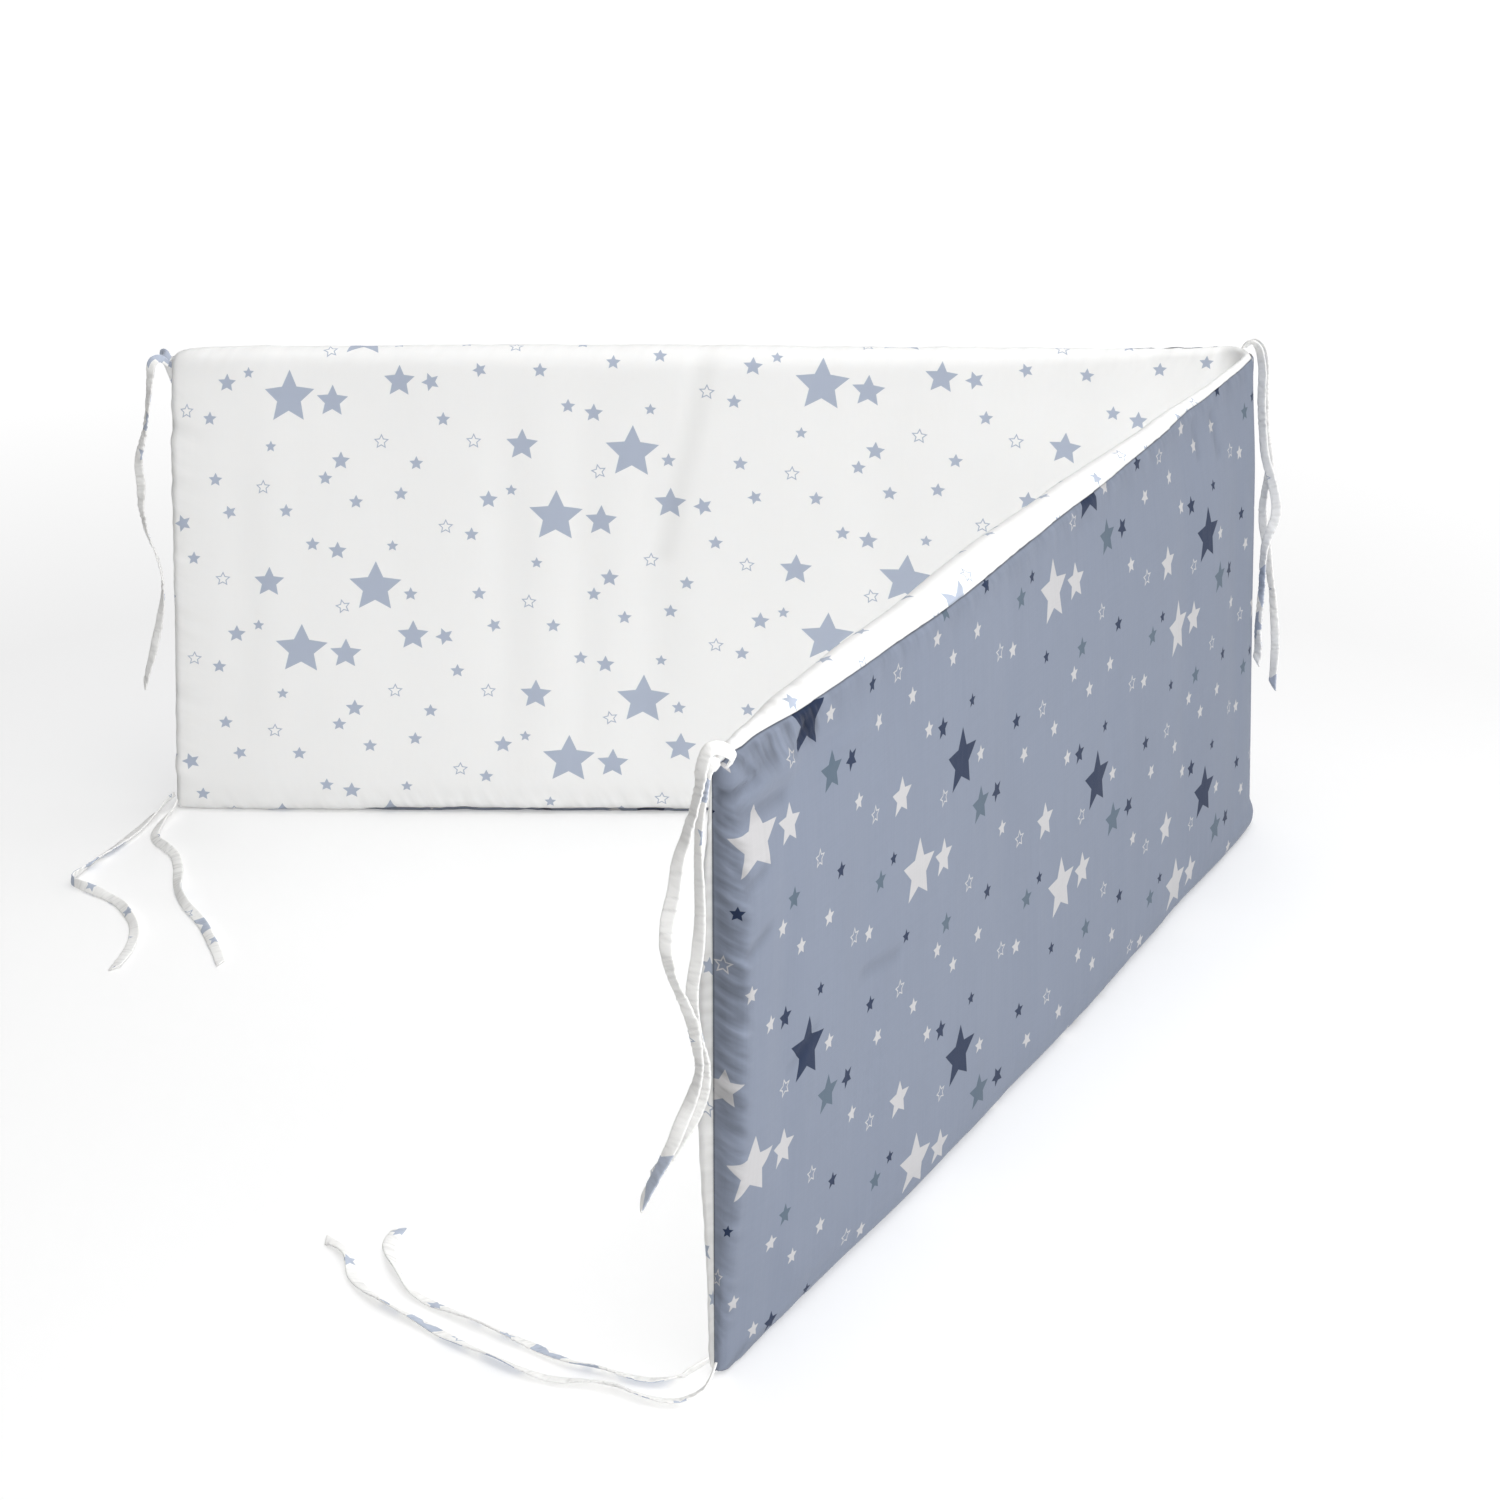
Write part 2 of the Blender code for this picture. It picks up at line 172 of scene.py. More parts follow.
class TreeBuilder:
    """Adds and links the nodes of one tree."""

    def __init__(self, tree: bpy.types.NodeTree) -> None:
        """Takes up a tree."""
        self.tree = tree

    def node(self, kind: str, **settings: object) -> bpy.types.Node:
        """Adds a node and sets its properties."""
        made = self.tree.nodes.new(kind)
        for name, value in settings.items():
            setattr(made, name, value)
        return made

    def plug(self, value: object, socket: bpy.types.NodeSocket) -> None:
        """Links a socket, or sets a constant."""
        if isinstance(value, bpy.types.NodeSocket):
            self.tree.links.new(value, socket)
        else:
            socket.default_value = value

    def math(self, operation: str, *values: object, clamp: bool = False) -> bpy.types.NodeSocket:
        """Adds a Math node and returns its output."""
        made = self.node("ShaderNodeMath", operation=operation, use_clamp=clamp)
        for value, socket in zip(values, made.inputs):
            self.plug(value, socket)
        return made.outputs[0]

    def vector(self, operation: str, *values: object) -> bpy.types.NodeSocket:
        """Adds a Vector Math node and returns the output that its operation fills."""
        made = self.node("ShaderNodeVectorMath", operation=operation)
        for value, socket in zip(values, made.inputs):
            self.plug(value, socket)
        return made.outputs["Value" if operation in ("DOT_PRODUCT", "LENGTH") else "Vector"]

    def noise(self, vector: object, scale: float, detail: float = 2.0) -> bpy.types.NodeSocket:
        """Adds a Noise Texture node and returns its factor."""
        made = self.node("ShaderNodeTexNoise", noise_dimensions="3D")
        self.plug(vector, made.inputs["Vector"])
        made.inputs["Scale"].default_value = scale
        made.inputs["Detail"].default_value = detail
        return made.outputs["Fac"]

    def combine(self, **axes: object) -> bpy.types.NodeSocket:
        """Adds a Combine XYZ node, with its named inputs linked, and returns its vector."""
        made = self.node("ShaderNodeCombineXYZ")
        for name, value in axes.items():
            self.plug(value, made.inputs[name])
        return made.outputs[0]


class GroupBuilder(TreeBuilder):
    """Builds one shader node group, with its sockets."""

    def __init__(self, name: str, inputs: dict[str, str], outputs: dict[str, str]) -> None:
        """Starts a group.

        Args:
            name: The group's name.
            inputs: Socket name to socket type.
            outputs: Socket name to socket type.
        """
        super().__init__(bpy.data.node_groups.new(name, "ShaderNodeTree"))
        for socket, kind in inputs.items():
            self.tree.interface.new_socket(socket, in_out="INPUT", socket_type=kind)
        for socket, kind in outputs.items():
            self.tree.interface.new_socket(socket, in_out="OUTPUT", socket_type=kind)
        self.start = self.tree.nodes.new("NodeGroupInput")
        self.end = self.tree.nodes.new("NodeGroupOutput")


class MaterialBuilder(TreeBuilder):
    """Builds a material around one Principled shader."""

    def __init__(self, name: str) -> None:
        """Starts a material with its shader."""
        self.material = bpy.data.materials.new(name)
        self.material.use_nodes = True
        super().__init__(self.material.node_tree)
        self.shader = self.tree.nodes["Principled BSDF"]

    def attribute(self, name: str) -> bpy.types.NodeSocket:
        """Reads a float attribute of the piece."""
        return self.node("ShaderNodeAttribute", attribute_name=name).outputs["Fac"]

    def dress(self, **values: object) -> None:
        """Links or sets the shader's named inputs."""
        for name, value in values.items():
            self.plug(value, self.shader.inputs[name.replace("_", " ")])

    def group(self, tree: bpy.types.NodeTree, **values: object) -> bpy.types.Node:
        """Places a node group, with its named inputs linked or set."""
        made = self.node("ShaderNodeGroup", node_tree=tree)
        for name, value in values.items():
            self.plug(value, made.inputs[name.replace("_", " ")])
        return made

    def mix(self, share: object, first: object, second: object, blend: str = "MIX") -> bpy.types.NodeSocket:
        """Mixes two colours."""
        made = self.node("ShaderNodeMix", data_type="RGBA", blend_type=blend)
        for value, index in ((share, 0), (first, 6), (second, 7)):
            self.plug(value, made.inputs[index])
        return made.outputs[2]


# ---------------------------------------------------------------- the star print


class Ink(Enum):
    """Which of the print's inks a star is in."""

    PALE = "Pale"
    NAVY = "Navy"
    STEEL = "Steel"


class StarSize(Enum):
    """A star's size: its outer radius in metres, and the width of its line if it is an outline."""

    BIG = (0.0168, 0.0)
    MEDIUM = (0.0100, 0.0)
    MIDDLING = (0.0058, 0.0)
    SMALL = (0.0045, 0.0)
    TINY = (0.0037, 0.0)
    OUTLINE = (0.0049, 0.0006)


@dataclass(frozen=True)
class Star:
    """One star of the repeat."""

    size: StarSize
    across_cm: float
    up_cm: float
    ink: Ink
    turn_deg: float = -4.0


# One repeat, charted from the big paired star
STARS = (
    Star(StarSize.BIG, 0.0, 0.0, Ink.PALE),
    Star(StarSize.MEDIUM, 2.7, -0.35, Ink.PALE),
    Star(StarSize.MEDIUM, 6.9, 0.65, Ink.STEEL),
    Star(StarSize.MIDDLING, 8.85, 0.5, Ink.NAVY, 18.0),
    Star(StarSize.SMALL, 9.5, -1.8, Ink.PALE),
    Star(StarSize.OUTLINE, 5.6, -2.95, Ink.PALE),
    Star(StarSize.MIDDLING, 3.05, -4.0, Ink.STEEL),
    Star(StarSize.SMALL, 2.05, -5.05, Ink.PALE),
    Star(StarSize.SMALL, 7.7, -4.4, Ink.NAVY),
    Star(StarSize.SMALL, 6.65, -6.25, Ink.PALE),
    Star(StarSize.SMALL, 3.85, -6.6, Ink.PALE),
    Star(StarSize.SMALL, -0.5, -7.0, Ink.PALE),
    Star(StarSize.OUTLINE, -1.9, -5.4, Ink.PALE),
    Star(StarSize.TINY, -1.3, -2.9, Ink.NAVY),
    Star(StarSize.SMALL, 1.05, -9.2, Ink.PALE),
    Star(StarSize.MIDDLING, 2.55, -9.65, Ink.NAVY),
    Star(StarSize.TINY, 5.95, -9.5, Ink.NAVY),
    Star(StarSize.BIG, 4.75, -12.1, Ink.NAVY),
    Star(StarSize.OUTLINE, 2.7, -13.25, Ink.PALE, 10.0),
    Star(StarSize.SMALL, 6.9, -12.65, Ink.PALE),
    Star(StarSize.OUTLINE, 9.3, -8.45, Ink.PALE),
    Star(StarSize.SMALL, 10.85, -9.0, Ink.PALE),
    Star(StarSize.MIDDLING, 12.0, -6.85, Ink.STEEL),
    Star(StarSize.TINY, 13.4, -6.3, Ink.NAVY),
    Star(StarSize.OUTLINE, 11.3, -3.2, Ink.PALE),
    Star(StarSize.MEDIUM, 14.2, -3.5, Ink.PALE),
    Star(StarSize.SMALL, -4.9, -4.8, Ink.NAVY),
    Star(StarSize.SMALL, -4.1, -6.9, Ink.PALE, 20.0),
)


@dataclass(frozen=True)
class StarPrint:
    """The half-drop star print, as a node group that reads metres of cloth."""

    repeat: float = 0.160
    points: int = 5
    notch: float = 0.48  # inner radius as a share of the outer one
    softness: float = 0.00022  # over which a printed edge fades

    def star_mask(self) -> bpy.types.NodeTree:
        """Builds the group that masks one star in every repeat."""
        build = GroupBuilder(
            "StarMask",
            {"Lattice": "NodeSocketVector", "Centre": "NodeSocketVector", "Radius": "NodeSocketFloat",
             "Turn": "NodeSocketFloat", "Line": "NodeSocketFloat"},
            {"Mask": "NodeSocketFloat"})
        given = build.start.outputs
        offset = build.vector("SUBTRACT", given["Lattice"], given["Centre"])
        near = build.vector("WRAP", offset, (0.5, 0.5, 0.5), (-0.5, -0.5, -0.5))
        across = build.vector("DOT_PRODUCT", near, (self.repeat, 0.0, 0.0))
        up = build.vector("DOT_PRODUCT", near, (-self.repeat / 2, self.repeat, 0.0))

        half_sector = math.pi / self.points
        angle = build.math("ADD", build.math("ARCTAN2", across, up), given["Turn"])
        folded = build.math("PINGPONG", angle, half_sector)
        reach = build.vector("LENGTH", build.combine(X=across, Y=up))
        forward = build.math("MULTIPLY", reach, build.math("COSINE", folded))
        aside = build.math("MULTIPLY", reach, build.math("SINE", folded))

        # The star's edge runs from its tip to its notch: n . (p - tip)
        run = (self.notch * math.cos(half_sector) - 1.0, self.notch * math.sin(half_sector))
        length = math.hypot(*run)
        past_tip = build.math("SUBTRACT", forward, given["Radius"])
        outside = build.math("ADD", build.math("MULTIPLY", past_tip, run[1] / length),
                             build.math("MULTIPLY", aside, -run[0] / length))
        half_line = build.math("MULTIPLY", given["Line"], 0.5)
        from_line = build.math("ABSOLUTE", build.math("ADD", outside, half_line))
        past_line = build.math("SUBTRACT", from_line, half_line)
        mask = build.math("MULTIPLY_ADD", past_line, -1.0 / self.softness, 0.5, clamp=True)
        build.plug(mask, build.end.inputs["Mask"])
        return build.tree

    def build(self) -> bpy.types.NodeTree:
        """Builds the print's group, with one mask for each ink."""
        star_mask = self.star_mask()
        build = GroupBuilder("StarPrint", {"Cloth": "NodeSocketVector"},
                             {ink.value: "NodeSocketFloat" for ink in Ink})
        cloth = build.start.outputs["Cloth"]
        lattice = build.combine(
            X=build.vector("DOT_PRODUCT", cloth, (1 / self.repeat, 0.0, 0.0)),
            Y=build.vector("DOT_PRODUCT", cloth, (0.5 / self.repeat, 1 / self.repeat, 0.0)))
        sums: dict[Ink, bpy.types.NodeSocket | float] = {ink: 0.0 for ink in Ink}
        for star in STARS:
            radius, line = star.size.value
            across, up = star.across_cm * CM / self.repeat, star.up_cm * CM / self.repeat
            made = build.node("ShaderNodeGroup", node_tree=star_mask)
            build.plug(lattice, made.inputs["Lattice"])
            made.inputs["Centre"].default_value = (across, up + across / 2, 0.0)
            made.inputs["Radius"].default_value = radius
            made.inputs["Turn"].default_value = math.radians(star.turn_deg)
            made.inputs["Line"].default_value = line or 4 * radius
            sums[star.ink] = build.math("ADD", sums[star.ink], made.outputs["Mask"], clamp=True)
        for ink, total in sums.items():
            build.plug(total, build.end.inputs[ink.value])
        return build.tree


@dataclass(frozen=True)
class CottonWeave:
    """Plain-woven cotton: fine threads, uneven yarn and faint laundry creases."""

    thread: float = 0.00045
    streak: float = 0.0011
    streak_run: float = 0.055
    level_share: float = 0.6  # of the level yarn's streaks, next to the upright yarn's
    patches: tuple[float, float, float] = (26.0, 9.0, 0.0)  # for each metre of cloth
    patch_share: float = 0.8
    middle_tone: float = 1.2  # of the streaks and patches together
    crumple: float = 0.014
    crumple_rise: float = 0.35  # how much slower the creases change up the cloth

    def build(self) -> bpy.types.NodeTree:
        """Builds the group: the threads' height, the yarn's tone about 0, and the creases from 0 to 1."""
        build = GroupBuilder("CottonWeave", {"Cloth": "NodeSocketVector"},
                             {"Threads": "NodeSocketFloat", "Tone": "NodeSocketFloat",
                              "Crumple": "NodeSocketFloat"})
        cloth = build.start.outputs["Cloth"]
        turns = math.pi / self.thread
        across = build.math("SINE", build.vector("DOT_PRODUCT", cloth, (turns, 0.0, 0.0)))
        up = build.math("SINE", build.vector("DOT_PRODUCT", cloth, (0.0, turns, 0.0)))
        build.plug(build.math("MULTIPLY", across, up), build.end.inputs["Threads"])

        upright = build.vector("MULTIPLY", cloth, (1 / self.streak, 1 / self.streak_run, 0.0))
        level = build.vector("MULTIPLY", cloth, (1 / self.streak_run, 1 / self.streak, 0.0))
        streaks = build.math("ADD", build.noise(upright, 1.0, 2.0),
                             build.math("MULTIPLY", build.noise(level, 1.0, 1.0), self.level_share))
        wide = build.noise(build.vector("MULTIPLY", cloth, self.patches), 1.0, 1.0)
        tone = build.math("ADD", streaks, build.math("MULTIPLY", wide, self.patch_share))
        build.plug(build.math("SUBTRACT", tone, self.middle_tone), build.end.inputs["Tone"])

        soft = build.vector("MULTIPLY", cloth, (1 / self.crumple, self.crumple_rise / self.crumple, 0.0))
        build.plug(build.noise(soft, 1.0, 2.5), build.end.inputs["Crumple"])
        return build.tree


@dataclass(frozen=True)
class ClothFinish:
    """A printed cotton's colours, and where the print lies on the cloth."""

    name: str
    ground: tuple[float, float, float]
    inks: dict[Ink, tuple[float, float, float]]
    anchor: tuple[float, float]  # the middle of a big paired star, in metres of cloth
    turn_deg: float  # how far the print is turned
    squash: float  # how much shorter the print is drawn up the cloth
    streak_strength: float
    crumple_depth: float
    # painted shade in the groove along each seam, over the seam width
    seam_painted_shade: float
    # painted shade in the hollows of the puckers, as deep as the hollow attribute says
    hollow_painted_shade: float
    translucence: float
    roughness: float = 0.86
    thread_roughness: float = 0.04
    thread_depth: float = 0.00002
    sheen: float = 0.12
    specular: float = 0.2
    glow_depth: float = 0.006  # how far light spreads inside a translucent cloth
    seam_width: float = 0.0011
    gather_pitch: float = 0.0065
    gather_stretch: float = 0.3  # how slowly a gather changes as it leaves its seam
    gather_depth: float = 0.0022
    # painted light on the gathers' crests and painted shade in their troughs
    gather_painted_shading: float = 1.2
    # painted shade over gathered cloth, strongest on the near end's strip
    gather_dim: float = 0.16  # how much less light reaches gathered cloth

    def build(self, star_print: bpy.types.NodeTree, weave: bpy.types.NodeTree) -> bpy.types.Material:
        """Builds the material.

        Args:
            star_print: The print's group.
            weave: The weave's group.

        Returns:
            The finished material.
        """
        build = MaterialBuilder(self.name)
        cloth = build.node("ShaderNodeUVMap", uv_map=CLOTH_MAP).outputs["UV"]
        woven = build.group(weave, Cloth=cloth).outputs
        seam = build.attribute(SEAM_ATTRIBUTE)
        gather = build.attribute(GATHER_ATTRIBUTE)
        gathers = self.gather_waves(build, seam, gather)
        printed = build.group(star_print, Cloth=self.place_print(build, cloth)).outputs
        colour: object = (*self.ground, 1.0)
        for ink, ink_colour in self.inks.items():
            colour = build.mix(printed[ink.value], colour, (*ink_colour, 1.0))
        # the yarn's tone with painted light and shade, which multiplies the print
        shaded = self.shade(build, woven["Tone"], seam, gather, gathers)
        rough = build.math("MULTIPLY_ADD", woven["Threads"], self.thread_roughness, self.roughness)
        height = build.math("ADD", build.math("MULTIPLY", woven["Threads"], self.thread_depth),
                            build.math("MULTIPLY", woven["Crumple"], self.crumple_depth))
        height = build.math("MULTIPLY_ADD", gathers, self.gather_depth, height)
        bump = build.node("ShaderNodeBump")
        bump.inputs["Strength"].default_value = 1.0
        bump.inputs["Distance"].default_value = 1.0
        build.plug(height, bump.inputs["Height"])
        build.dress(Base_Color=build.mix(1.0, colour, shaded, "MULTIPLY"), Roughness=rough,
                     Normal=bump.outputs[0], Sheen_Weight=self.sheen, Specular_IOR_Level=self.specular)
        if self.translucence:
            build.dress(Subsurface_Weight=self.translucence, Subsurface_Radius=(1.0, 0.95, 0.9),
                         Subsurface_Scale=self.glow_depth)
        return build.material

    def place_print(self, build: MaterialBuilder, cloth: bpy.types.NodeSocket) -> bpy.types.NodeSocket:
        """Turns, squashes and moves the cloth's own place to the print's."""
        turn = math.radians(-self.turn_deg)
        placed = build.node("ShaderNodeMapping", vector_type="POINT")
        moved = Matrix.Rotation(turn, 2) @ Vector((self.anchor[0], self.anchor[1] / self.squash))
        placed.inputs["Location"].default_value = (-moved.x, -moved.y, 0.0)
        placed.inputs["Rotation"].default_value = (0.0, 0.0, turn)
        placed.inputs["Scale"].default_value = (1.0, 1.0 / self.squash, 1.0)
        build.plug(cloth, placed.inputs["Vector"])
        return placed.outputs[0]

    def gather_waves(self, build: MaterialBuilder, seam: bpy.types.NodeSocket,
                     gather: bpy.types.NodeSocket) -> bpy.types.NodeSocket:
        """Makes the fine gathers that run slanting from each seam, about 0 and fading out with gather."""
        along = build.math("MULTIPLY_ADD", seam, GATHER_SLANT, build.attribute(PLACE_ATTRIBUTE))
        slanted = build.combine(X=along, Y=build.math("MULTIPLY", seam, self.gather_stretch))
        waves = build.math("SUBTRACT", build.noise(slanted, 1 / self.gather_pitch, 1.5), 0.5)
        return build.math("MULTIPLY", waves, gather)

    def shade(self, build: MaterialBuilder, tone: bpy.types.NodeSocket, seam: bpy.types.NodeSocket,
              gather: bpy.types.NodeSocket, gathers: bpy.types.NodeSocket) -> bpy.types.NodeSocket:
        """Makes the grey by which the print is multiplied: the yarn's tone with painted light and shade.

        Args:
            build: The material's builder.
            tone: The yarn's tone.
            seam: Distance from the nearest seam.
            gather: How tightly the cloth is gathered.
            gathers: The gathers' waves.

        Returns:
            The grey: the yarn's tone, with painted shade in the seams, the hollows and the gathered cloth, and
                painted light and shade over the gathers.
        """
        # painted shade in the seams' grooves
        beside = build.math("MULTIPLY_ADD", seam, -1.0 / self.seam_width, 1.0, clamp=True)
        shade = build.math("MULTIPLY_ADD", beside, -self.seam_painted_shade, 1.0)
        # painted shade in the puckers' hollows
        hollow = build.attribute(HOLLOW_ATTRIBUTE)
        shade = build.math("MULTIPLY", shade, build.math("MULTIPLY_ADD", hollow, -self.hollow_painted_shade, 1.0))
        # painted shade over gathered cloth, and painted light and shade over the gathers' waves
        lit = build.math("MULTIPLY_ADD", gather, -self.gather_dim, 1.0)
        shade = build.math("MULTIPLY", shade, build.math("MULTIPLY_ADD", gathers, self.gather_painted_shading, lit))
        shade = build.math("MULTIPLY", build.math("MULTIPLY_ADD", tone, self.streak_strength, 1.0), shade)
        grey = build.node("ShaderNodeCombineColor")
        for channel in grey.inputs:
            build.plug(shade, channel)
        return grey.outputs[0]


STAR_BLUE = (0.460, 0.512, 0.620)
INNER_CLOTH = ClothFinish(
    name="pale_star_cotton", ground=(0.955, 0.955, 0.945), inks={ink: STAR_BLUE for ink in Ink},
    anchor=(0.084, 0.2705), turn_deg=1.6, squash=0.985, streak_strength=0.012, crumple_depth=0.0003, seam_painted_shade=0.35,
    hollow_painted_shade=0.16, translucence=0.25)
OUTER_CLOTH = ClothFinish(
    name="blue_grey_star_cotton", ground=(0.213, 0.244, 0.314),
    inks={Ink.PALE: (0.51, 0.505, 0.515), Ink.NAVY: (0.012, 0.025, 0.066), Ink.STEEL: (0.092, 0.130, 0.175)},
    anchor=(0.0175, 0.2503), turn_deg=0.6, squash=0.955, streak_strength=0.085, crumple_depth=0.0005, seam_painted_shade=0.65,
    hollow_painted_shade=0.38, translucence=0.0)
RIBBON_CLOTH = ClothFinish(
    name="ribbon_star_cotton", ground=(0.945, 0.940, 0.920), inks={ink: STAR_BLUE for ink in Ink},
    anchor=(0.0, 0.0), turn_deg=0.0, squash=1.0, streak_strength=0.012, crumple_depth=0.0003, seam_painted_shade=0.0,
    hollow_painted_shade=0.16, translucence=0.25)


# ---------------------------------------------------------------- the padded panel


class Face(Enum):
    """Which of the panel's two faces."""

    INNER = -1
    OUTER = 1


@dataclass(frozen=True)
class Crease:
    """A soft trough, or a ridge if its depth is negative, along a straight run in one face.

    Its ends are (distance along the centre line, height) in metres.
    """

    face: Face
    start: tuple[float, float]
    end: tuple[float, float]
    half_width: float
    depth: float

    def depth_at(self, place: Vector) -> float:
        """How deep the crease is at a place (along, height) in its face."""
        run = Vector(self.end) - Vector(self.start)
        share = min(max((place - Vector(self.start)).dot(run) / run.length_squared, 0.0), 1.0)
        reach = (place - Vector(self.start) - run * share).length / self.half_width
        return self.depth * 0.5 * (1.0 + math.cos(math.pi * reach)) if reach < 1.0 else 0.0


HAND_CREASES = (
    Crease(Face.INNER, (0.325, 0.292), (0.300, 0.175), 0.012, 0.0009),
    Crease(Face.OUTER, (1.284, 0.2745), (1.258, 0.2730), 0.0120, -0.0030),
    Crease(Face.OUTER, (1.2995, 0.2735), (1.286, 0.2755), 0.0042, 0.0024),
    Crease(Face.OUTER, (1.286, 0.2755), (1.276, 0.2790), 0.0045, 0.0012),
    Crease(Face.OUTER, (1.294, 0.2640), (1.262, 0.2605), 0.0065, 0.0011),
    Crease(Face.OUTER, (1.2510, 0.2770), (1.2420, 0.2850), 0.0040, 0.0014),
    Crease(Face.OUTER, (1.2430, 0.2770), (1.2330, 0.2800), 0.0040, 0.0006),
    Crease(Face.OUTER, (1.215, 0.2650), (1.188, 0.2650), 0.0070, -0.0009),
    Crease(Face.OUTER, (1.2950, 0.2320), (1.2800, 0.2360), 0.0050, 0.0009),
    Crease(Face.OUTER, (1.2950, 0.2030), (1.2790, 0.2080), 0.0055, 0.0010),
    Crease(Face.OUTER, (1.190, 0.1480), (1.160, 0.1440), 0.006, 0.0007),
    Crease(Face.OUTER, (1.255, 0.1330), (1.236, 0.1420), 0.005, 0.0006),
    Crease(Face.OUTER, (0.735, 0.285), (0.728, 0.262), 0.005, 0.0010),
    Crease(Face.OUTER, (0.762, 0.287), (0.757, 0.268), 0.005, 0.0008),
)


@dataclass
class PaddedPanel:
    """The padded panel: its path in plan, its cross-section, its seams and its folds."""

    height: float = 0.300
    half_length: float = 0.650
    fold_radius: float = 0.018
    left_heading: float = math.radians(-1.0)
    near_heading: float = math.radians(-119.5)
    fold_corner: tuple[float, float] = (0.3339, 0.2784)
    left_spread: float = 0.0108
    fold_spread: float = 0.0100
    near_spread: float = 0.0030
    left_tuck: float = 0.0020  # how far the left end is drawn in along its half
    foot_round: float = 0.010
    foot_sink: float = 0.0016
    near_foot_taper: float = 0.110  # the height over which the near end grows from its thin foot
    near_taper_start: float = 1.240  # where along the panel that begins
    near_taper_run: float = 0.050
    top_blend: float = 0.070
    bulge: float = 0.05
    corner_round: float = 0.011
    corner_drop: float = 0.005
    corner_lift: float = 0.0015
    # Distance along, top, then the thickness of the body, at the top edge and at the foot
    profile: tuple = (
        (0.000, 0.2960, 0.0200, 0.0150, 0.0185), (0.060, 0.2975, 0.0235, 0.0180, 0.0215),
        (0.200, 0.2990, 0.0245, 0.0220, 0.0225), (0.330, 0.3000, 0.0250, 0.0240, 0.0230),
        (0.450, 0.2995, 0.0245, 0.0210, 0.0225), (0.560, 0.2995, 0.0230, 0.0150, 0.0210),
        (0.620, 0.3005, 0.0150, 0.0090, 0.0170), (0.650, 0.3030, 0.0085, 0.0065, 0.0145),
        (0.690, 0.3005, 0.0140, 0.0065, 0.0160), (0.757, 0.2985, 0.0225, 0.0085, 0.0205),
        (0.820, 0.2985, 0.0240, 0.0135, 0.0220), (0.940, 0.2995, 0.0250, 0.0205, 0.0230),
        (1.070, 0.3000, 0.0255, 0.0245, 0.0235), (1.180, 0.2990, 0.0245, 0.0200, 0.0225),
        (1.240, 0.2975, 0.0240, 0.0165, 0.0205), (1.275, 0.2945, 0.0235, 0.0120, 0.0150),
        (1.300, 0.2915, 0.0220, 0.0100, 0.0100))
    # Distance along, how far the top and the foot bow towards the outer face
    bow: tuple = (
        (0.000, 0.0000, 0.0000), (0.300, -0.0015, 0.0010), (0.620, 0.0000, 0.0000), (0.700, -0.0015, 0.0020),
        (0.780, -0.0035, 0.0010), (0.850, -0.0020, 0.0035), (0.930, -0.0020, 0.0045), (1.010, -0.0008, 0.0043),
        (1.140, 0.0038, 0.0045), (1.230, 0.0045, 0.0024), (1.300, 0.0050, 0.0036))
    # Soft upright creases: distance along, half width, depth in the inner and in the outer face
    upright_creases: tuple = (
        (0.045, 0.020, 0.0010, 0.0004), (0.205, 0.022, 0.0012, 0.0002), (0.250, 0.018, 0.0010, 0.0000),
        (0.293, 0.022, 0.0013, 0.0003), (0.430, 0.026, 0.0007, 0.0004), (0.700, 0.022, 0.0006, 0.0008),
        (0.790, 0.026, 0.0003, 0.0009), (0.905, 0.024, 0.0004, 0.0007), (1.045, 0.026, 0.0004, 0.0006),
        (1.190, 0.022, 0.0006, 0.0008), (1.262, 0.018, 0.0008, 0.0014))
    # Where the top seam lies round the top edge. Distance along, degrees up from the outer face
    top_seam: tuple = (
        (0.000, 90.0), (0.012, 60.0), (0.050, 35.0), (0.520, 40.0), (0.590, 75.0), (0.625, 82.0),
        (0.655, 45.0), (0.700, 20.0), (1.240, 22.0), (1.288, 50.0), (1.300, 90.0))
    # Where the foot seam lies round the foot. Distance along, degrees down from the inner face
    foot_seam: tuple = (
        (0.000, 90.0), (0.020, 80.0), (0.100, 62.0), (0.140, 42.0), (1.270, 42.0), (1.300, 90.0))
    # How far the sewing has pulled each cloth's print out of true. Distance from the cloth's left edge as seen
    # from outside, the pull along the cloth at its foot and its top, then the pull up it at its foot and its top
    inner_pull: tuple = (
        (0.00, -0.0005, 0.0040, -0.0020, -0.0050), (0.04, 0.0000, 0.0000, -0.0030, -0.0030),
        (0.10, 0.0010, -0.0040, -0.0030, 0.0000), (0.20, 0.0005, -0.0060, -0.0015, 0.0030),
        (0.30, -0.0010, -0.0045, -0.0005, 0.0030), (0.40, -0.0025, -0.0010, -0.0020, 0.0005),
        (0.50, -0.0035, 0.0025, -0.0075, -0.0040), (0.60, -0.0035, 0.0035, -0.0120, -0.0100))
    outer_pull: tuple = (
        (0.000, 0.0015, 0.0080, 0.0050, -0.0015), (0.010, 0.0010, 0.0075, 0.0050, -0.0015),
        (0.045, 0.0010, 0.0110, 0.0020, -0.0010), (0.085, -0.0035, 0.0045, -0.0010, -0.0010),
        (0.115, -0.0050, 0.0020, -0.0005, -0.0005),
        (0.150, -0.0065, -0.0060, 0.0000, 0.0025), (0.220, -0.0085, -0.0080, -0.0040, 0.0020),
        (0.335, 0.0040, -0.0060, -0.0120, 0.0080), (0.390, 0.0040, -0.0010, -0.0080, 0.0060),
        (0.510, 0.0080, 0.0120, -0.0040, 0.0060), (0.555, 0.0030, 0.0140, -0.0020, 0.0070))
